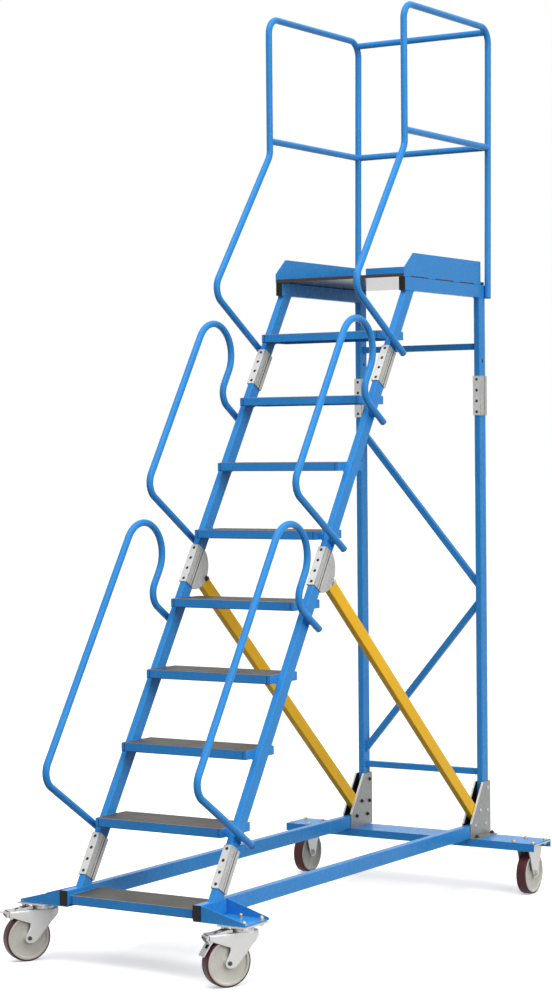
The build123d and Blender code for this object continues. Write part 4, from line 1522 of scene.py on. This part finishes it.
@dataclass
class SwivelCaster:
    """A pressed swivel fork with its race, axle and total lock.

    Lengths along the trail run from the swivel axis towards the wheel, heights from the floor.
    A corner gives along, height and radius, and the place of an opening along, height and aside.
    """

    shop: Workshop
    side: str
    pressed: bool
    half_w: float = 26.5
    wall: float = 3.0
    top_z: float = 178.0
    shoulder: float = 7.0
    arm_end: float = 130.0
    arm_end_z: float = 158.0
    notch: Point = (56.0, 130.0)
    lead: float = -20.0
    nose: float = -56.0
    nose_z: float = 160.0
    leg_rows: tuple[tuple[float, float, float], ...] = (
        (116, -9, 58), (100, 5, 66), (88, 16, 73), (80, 23, 75), (72, 31, 73), (66, 40, 68), (63, 47, 61),
    )
    columns: int = 6
    skirt_rows: int = 3
    shoulder_angles: tuple[float, ...] = (22.5, 45.0, 67.5, 90.0)
    cup: tuple[Point, ...] = ((38.0, -6.0), (36.5, -2.5), (33.0, 0.0))
    cup_sunk: float = 1.0
    washer_r: float = 11.5
    washer_t: float = 1.2
    washer_out: float = 1.0
    pin_r: float = 5.9
    web_t: float = 4.0
    brake_half_w: float = 21.0
    cheek_t: float = 5.0
    pedal_inset: float = 2.0
    roller_out: float = 1.5
    rollers: tuple[Corner, ...] = ((131, 168, 5.0), (122, 155, 4.5))
    cover: tuple[Corner, ...] = (
        (46, 176, 0), (46, 187, 2), (54, 187, 5), (112, 177, 8), (121, 172, 3), (121, 164, 0), (112, 169, 3),
        (60, 178, 0),
    )
    cheek: tuple[Corner, ...] = (
        (112, 176, 0), (130, 176, 3), (139, 170, 4), (139, 162, 4), (128, 148, 4), (118, 148, 3),
        (112, 160, 0),
    )
    pedal_down: tuple[Corner, ...] = (
        (118, 152, 0), (121, 153, 0), (130, 141, 8), (151, 108, 1.2), (148, 106, 1.2), (126, 139, 8),
        (117, 149, 0),
    )
    pedal_up: tuple[Corner, ...] = (
        (120, 158, 0), (146, 171, 8), (175, 178, 12), (202, 185, 1.2), (201, 188, 1.2), (174, 181, 12),
        (145, 174, 8), (119, 161, 0),
    )
    cover_slope: Point = (58.0, -10.0)
    cover_slots: tuple[Corner, ...] = ((70, 184.4, 9), (70, 184.4, -9))
    cover_slot: Point = (22.0, 7.0)
    cover_holes: tuple[tuple[Corner, float], ...] = (((96, 179.9, 0), 6.0), ((107, 178.0, 13), 4.0))
    opening_t: float = 0.5
    opening_radius: float = 2.0
    cheek_window_at: Corner = (139, 163, 8)
    cheek_window: Point = (10.0, 6.0)
    pedal_slope: Point = (21.0, -33.0)
    pedal_window_at: Corner = (131.3, 139.6, 6)
    pedal_window: tuple[Point, Point] = ((-6.0, -8.0), (8.0, 8.0))
    pedal_window_t: float = 0.6
    axle_nut: Fastener = Fastener(Head.NUT, radius=7.6, height=4.4, shank=4.2)
    cap_nut: Fastener = Fastener(
        Head.CAP_NUT, radius=7.0, height=5.0, washer=8.6, washer_t=1.4, shank=3.8, lift=4.0
    )
    plate_dome: Fastener = Fastener(Head.DOME, radius=8.0, height=3.6, washer=9.5, washer_t=1.0)
    plate_nut: Fastener = Fastener(Head.HEX, radius=7.8, height=6.5, washer=9.4, washer_t=1.6)

    def __post_init__(self) -> None:
        """Find the swivel axis, the spin axis and the trail direction."""
        self.pivot, _ = self.shop.joint(f"swivel_front_{self.side}")
        self.axle, self.across = self.shop.joint(f"spin_front_{self.side}")
        self.trail = Vector((self.axle.x - self.pivot.x, self.axle.y - self.pivot.y, 0)).normalized()
        self.body = f"swivel_front_{self.side}"
        self.ground = Vector((self.pivot.x, self.pivot.y, 0))

    def at(self, along: float, aside: float, height: float) -> Vector:
        """A point from its place along the trail, to the side and above the floor."""
        return self.ground + self.trail * along + self.across * aside + Vector((0, 0, height))

    def plan(self) -> list[tuple[float, float, float, float, float]]:
        """Half of the skirt seen from above, from the arm's end round to the nose.

        Returns:
            For each column: along, aside, the outward way (along, aside) and the skirt's lower edge.
        """
        count = self.columns
        notch_along, notch_z = self.notch
        columns = []
        for i in range(count):
            share = i / count
            along = self.arm_end + (notch_along - self.arm_end) * share
            low = self.arm_end_z + (notch_z - self.arm_end_z) * share
            columns.append((along, self.half_w, 0.0, 1.0, low))
        for i in range(count):
            along = notch_along + (self.lead - notch_along) * i / count
            columns.append((along, self.half_w, 0.0, 1.0, notch_z))
        depth = abs(self.nose - self.lead)
        for i in range(count + 3):
            angle = math.radians(90 * i / (count + 2))
            along = self.lead + (self.nose - self.lead) * math.sin(angle)
            aside = self.half_w * math.cos(angle)
            way = Vector((-math.sin(angle) / depth, math.cos(angle) / self.half_w)).normalized()
            low = notch_z + (self.nose_z - notch_z) * math.sin(angle)
            columns.append((along, aside, way.x, way.y, low))
        return columns

    def shell(self) -> None:
        """Press the fork: arm, nose and two legs in one skin of even thickness."""
        form = Form()
        half = self.plan()
        ring = half + [(a, -s, wa, -ws, z) for a, s, wa, ws, z in reversed(half[:-1])]
        rows = []
        skirt_top = self.top_z - self.shoulder
        for j in range(self.skirt_rows + 1):
            rows.append([self.at(a, s, z + (skirt_top - z) * j / self.skirt_rows) for a, s, _, _, z in ring])
        for degrees in self.shoulder_angles:
            turn = math.radians(degrees)
            draw = self.shoulder * (1 - math.cos(turn))
            height = skirt_top + self.shoulder * math.sin(turn)
            rows.append([self.at(a - wa * draw, s - ws * draw, height) for a, s, wa, ws, _ in ring])
        verts = form.grid(rows)
        count = len(half) - 1
        for i in range(count):
            j = len(ring) - 1 - i
            corners = [verts[-1][i], verts[-1][i + 1], verts[-1][j - 1], verts[-1][j]]
            corners = list(dict.fromkeys(corners))
            if len(corners) > 2:
                form.bm.faces.new(corners)
        first, last = self.columns, 2 * self.columns
        for sign in SIDES.values():
            top = [(a, z) for a, _, _, _, z in half[first:last + 1]]
            leg = [[self.at(a, sign * self.half_w, z) for a, z in top]]
            for height, lead, trail in self.leg_rows:
                leg.append([
                    self.at(trail + (lead - trail) * i / self.columns, sign * self.half_w, height)
                    for i in range(self.columns + 1)
                ])
            form.grid(leg)
        bmesh.ops.remove_doubles(form.bm, verts=form.bm.verts, dist=0.01)
        bmesh.ops.recalc_face_normals(form.bm, faces=form.bm.faces)
        form.bm.faces.ensure_lookup_table()
        highest = max(form.bm.faces, key=lambda face: face.calc_center_median().z)
        if highest.normal.z < 0:
            bmesh.ops.reverse_faces(form.bm, faces=form.bm.faces)
        mesh = form.mesh(f"fork_shell_front_{self.side}", 50, recalculate=False)
        self.shop.piece(
            mesh, "zinc_plated", self.body, [Finish.ZINC], [f"caster_fork_front_{self.side}"],
            bevel=0.5, wall=self.wall,
        )

    def race(self) -> None:
        """The cup of the ball race on the fork, and the axle with its washers."""
        top = self.shop.corners(f"caster_fork_front_{self.side}")[1].z
        foot = self.top_z - self.cup_sunk
        form = Form()
        cup = [(0, foot), (self.cup[0][0], foot)] + [(r, top + z) for r, z in self.cup] + [(0, top)]
        form.lathe(cup, Matrix.Translation(self.ground), 64)
        width = self.half_w + self.washer_out
        inner = width - self.washer_t
        half = [(0, width), (self.washer_r, width), (self.washer_r, inner), (self.pin_r, inner)]
        form.lathe([(r, -h) for r, h in half] + half[::-1], stand(self.axle, self.across), 32)
        self.shop.piece(
            form.mesh(f"race_cup_front_{self.side}", 30), "zinc_plated", self.body, [Finish.ZINC], bevel=0.2
        )
        ends = [(self.axle + self.across * way * width, self.across * way) for way in SIDES.values()]
        name = f"axle_nuts_front_{self.side}"
        self.shop.fasten(name, self.axle_nut, ends, Finish.DARK, "zinc_plated", self.body)

    def plate_bolts(self) -> None:
        """Cap nuts or domed bolts above the wing, nuts under the caster's plate."""
        top = self.shop.corners(f"caster_plate_front_{self.side}")[1].z
        tops, nuts = [], []
        for x, y in bolt_places(self.pivot):
            tops.append(((x, y, top + self.web_t), (0, 0, 1)))
            nuts.append(((x, y, top - PLATE_T), (0, 0, -1)))
        head = self.cap_nut if self.pressed else self.plate_dome
        self.shop.fasten(f"wing_nuts_{self.side}", head, tops, Finish.GOLD, "zinc_plated")
        self.shop.fasten(f"plate_nuts_{self.side}", self.plate_nut, nuts, Finish.ZINC, "zinc_plated")

    def bend(self, form: Form, corners: Sequence[Corner], start: float, depth: float) -> None:
        """Add a plate seen from the side, from one place aside as deep as it is wide."""
        form.prism(cut(corners), depth, axes(self.at(0, start, 0), self.trail, (0, 0, 1), self.across))

    def brake(self) -> None:
        """The brake's cover with painted shade in its openings, its two cheeks with their rollers, and its
        pedal.
        """
        form = Form()
        width = self.brake_half_w
        self.bend(form, self.cover, -width, 2 * width)
        for start in (-width, width - self.cheek_t):
            self.bend(form, self.cheek, start, self.cheek_t)
        reach = 2 * (width + self.roller_out)
        for along, height, radius in self.rollers:
            roller = stand(self.at(along, -width - self.roller_out, height), self.across)
            form.lathe([(0, 0), (radius, 0), (radius, reach), (0, reach)], roller, 20)
        pedal = self.pedal_down if self.pressed else self.pedal_up
        self.bend(form, pedal, -width + self.pedal_inset, 2 * (width - self.pedal_inset))
        self.shop.piece(
            form.mesh(f"brake_front_{self.side}_dressed", 30), "zinc_plated", self.body, [Finish.ZINC],
            [f"caster_brake_front_{self.side}"], bevel=0.5,
        )
        self.openings()

    def sloped(self, spot: Corner, slope: Point) -> Matrix:
        """A frame on a sloped plate: X down the slope, Y to the side, Z out of the plate.

        Args:
            spot: its place along the trail, its height and its place aside.
            slope: a step along the trail and the rise that goes with it.

        Returns:
            The frame.
        """
        along, height, aside = spot
        way = Vector(slope).normalized()
        down = self.trail * way.x + Vector((0, 0, way.y))
        out = self.trail * -way.y + Vector((0, 0, way.x))
        return axes(self.at(along, aside, height), down, self.across, out)

    def openings(self) -> None:
        """Dark patches of painted shade for the openings in the brake's cover, in one cheek's end and in the
        lowered pedal.
        """
        form = Form()
        for spot in self.cover_slots:
            form.prism(slot_outline(*self.cover_slot), self.opening_t, self.sloped(spot, self.cover_slope))
        for spot, radius in self.cover_holes:
            form.prism(disc(radius), self.opening_t, self.sloped(spot, self.cover_slope))
        corners = [self.opening_radius] * 4
        along, height, inset = self.cheek_window_at
        end = axes(self.at(along, inset - self.brake_half_w, height), self.across, (0, 0, 1), self.trail)
        form.prism(rounded(oblong((0, 0), self.cheek_window), corners), self.opening_t, end)
        if self.pressed:
            place = self.sloped(self.pedal_window_at, self.pedal_slope)
            form.prism(rounded(oblong(*self.pedal_window), corners), self.pedal_window_t, place)
        self.shop.piece(
            form.mesh(f"brake_openings_{self.side}"), "zinc_plated", self.body, [Finish.GAP]
        )

    def build(self) -> None:
        """Dress the caster."""
        self.shell()
        self.race()
        self.plate_bolts()
        self.brake()


@dataclass
class FixedCaster:
    """The axle ends of a rear caster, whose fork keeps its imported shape."""

    shop: Workshop
    side: str
    half_w: float = 26.5
    nut: Fastener = Fastener(Head.NUT, radius=8.4, height=6.4, washer=12.0, washer_t=1.6, shank=5.2)

    def build(self) -> None:
        """Set the washers and nuts of the axle."""
        centre, axis = self.shop.joint(f"spin_rear_{self.side}")
        ends = [(centre + axis * way * self.half_w, axis * way) for way in SIDES.values()]
        self.shop.fasten(f"axle_nuts_rear_{self.side}", self.nut, ends, Finish.ZINC, "zinc_plated")


@dataclass
class Studio:
    """Camera, floor and light."""

    camera_at: tuple[float, float, float] = (4.6193, -7.4254, 1.7269)
    azimuth: float = 32.03
    elevation: float = 1.117
    roll: float = -0.504
    focal_px: float = 2414.5
    frame_px: float = 992.0
    sensor: float = 36.0
    floor_half: float = 120.0
    floor_white: float = 0.92
    floor_lift: float = 0.35
    floor_bounce: float = 0.18
    sky_from: float = 0.15
    sky_to: float = 0.95
    sky_low: float = 0.12
    sky_high: float = 1.25
    lamp_size: Point = (5.0, 4.0)
    lamp_aim: tuple[float, float, float] = (0.0, 0.0, 1.5)
    lamps: tuple[tuple[str, tuple[float, float, float], float], ...] = (
        ("side", (6.5, -2.0, 3.5), 275.0), ("above", (0.5, -3.2, 8.6), 300.0),
    )

    def camera(self) -> None:
        """Place the camera of the photograph."""
        az, el, ro = (math.radians(a) for a in (self.azimuth, self.elevation, self.roll))
        back = Vector((math.sin(az) * math.cos(el), -math.cos(az) * math.cos(el), math.sin(el)))
        x = Vector((0, 0, 1)).cross(back).normalized()
        y = back.cross(x)
        right = x * math.cos(ro) + y * math.sin(ro)
        up = y * math.cos(ro) - x * math.sin(ro)
        data = bpy.data.cameras.new("camera")
        data.sensor_width = self.sensor
        data.lens = self.focal_px / self.frame_px * self.sensor
        data.clip_end = 4 * self.floor_half
        camera = put("camera", data)
        camera.matrix_world = axes(self.camera_at, right, up, back)
        bpy.context.scene.camera = camera

    @staticmethod
    def seen(tree: bpy.types.NodeTree, rays: Sequence[str]) -> bpy.types.NodeSocket:
        """Whether a ray is one of those that show the background.

        Args:
            tree: the tree that gets the nodes.
            rays: the kinds of ray.

        Returns:
            1 for such a ray, 0 for any other.
        """
        path = wire(tree, "ShaderNodeLightPath")
        found = path.outputs[rays[0]]
        for ray in rays[1:]:
            found = combine(tree, "MAXIMUM", found, path.outputs[ray])
        return found

    def floor(self) -> None:
        """A plain pale floor that reads as white and keeps a faint shadow."""
        mesh = bpy.data.meshes.new("floor")
        half = self.floor_half
        corners = [(x, y, 0) for x, y in oblong((-half, -half), (half, half))]
        mesh.from_pydata(corners, [], [(0, 1, 2, 3)])
        floor = put("floor", mesh)
        material = bpy.data.materials.new("floor")
        material.use_nodes = True
        tree = material.node_tree
        tree.nodes.clear()
        seen = self.seen(tree, ("Is Camera Ray", "Is Glossy Ray"))
        white, bounce = ((level, level, level, 1.0) for level in (self.floor_white, self.floor_bounce))
        mix = wire(tree, "ShaderNodeMix", {"A": bounce, "B": white, "Factor": seen}, data_type="RGBA")
        diffuse = wire(tree, "ShaderNodeBsdfDiffuse", {"Color": mix.outputs["Result"]})
        lift = combine(tree, "MULTIPLY", seen, self.floor_lift)
        fill = wire(tree, "ShaderNodeEmission", {"Strength": lift})
        both = wire(tree, "ShaderNodeAddShader")
        tree.links.new(diffuse.outputs["BSDF"], both.inputs[0])
        tree.links.new(fill.outputs["Emission"], both.inputs[1])
        wire(tree, "ShaderNodeOutputMaterial", {"Surface": both.outputs["Shader"]})
        mesh.materials.append(material)

    def light(self) -> None:
        """A pale sky, brighter above, a soft lamp on the right and one above the stair."""
        world = bpy.data.worlds.new("studio")
        bpy.context.scene.world = world
        world.use_nodes = True
        tree = world.node_tree
        tree.nodes.clear()
        where = wire(tree, "ShaderNodeTexCoord")
        split = wire(tree, "ShaderNodeSeparateXYZ", {"Vector": where.outputs["Generated"]})
        ramp = wire(tree, "ShaderNodeMapRange", {
            "Value": split.outputs["Z"], "From Min": self.sky_from, "From Max": self.sky_to,
            "To Min": self.sky_low, "To Max": self.sky_high,
        })
        seen = self.seen(tree, ("Is Camera Ray", "Is Glossy Ray", "Is Transmission Ray"))
        levels = {"Factor": seen, "A": ramp.outputs["Result"], "B": 1.0}
        mix = wire(tree, "ShaderNodeMix", levels, data_type="FLOAT")
        back = wire(tree, "ShaderNodeBackground", {
            "Color": (1.0, 1.0, 1.0, 1.0), "Strength": mix.outputs["Result"],
        })
        wire(tree, "ShaderNodeOutputWorld", {"Surface": back.outputs["Background"]})
        for name, spot, watts in self.lamps:
            lamp = bpy.data.lights.new(name, "AREA")
            lamp.shape = "RECTANGLE"
            lamp.size, lamp.size_y = self.lamp_size
            lamp.energy = watts
            put(name, lamp).matrix_world = stand(spot, Vector(spot) - Vector(self.lamp_aim))

    def build(self) -> None:
        """Set the stage."""
        self.camera()
        self.floor()
        self.light()
        bpy.context.scene.view_settings.view_transform = "Standard"


def main() -> None:
    """Dress the ladder, piece by piece, and set the stage."""
    logging.basicConfig(level=logging.INFO, format="%(message)s")
    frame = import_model()
    shop = Workshop(frame)
    shop.dress_nodes()
    stair = Stair(shop)
    stair.boards()
    stair.seams()
    stair.welds()
    Sleeves(shop, stair).build()
    RearFrame(shop).build()
    for side in SIDES:
        SwivelCaster(shop, side, pressed=side == "right").build()
        FixedCaster(shop, side).build()
        for end in ("front", "rear"):
            Wheel(shop, f"{end}_{side}").build()
    Studio().build()


if __name__ == "__main__":
    main()
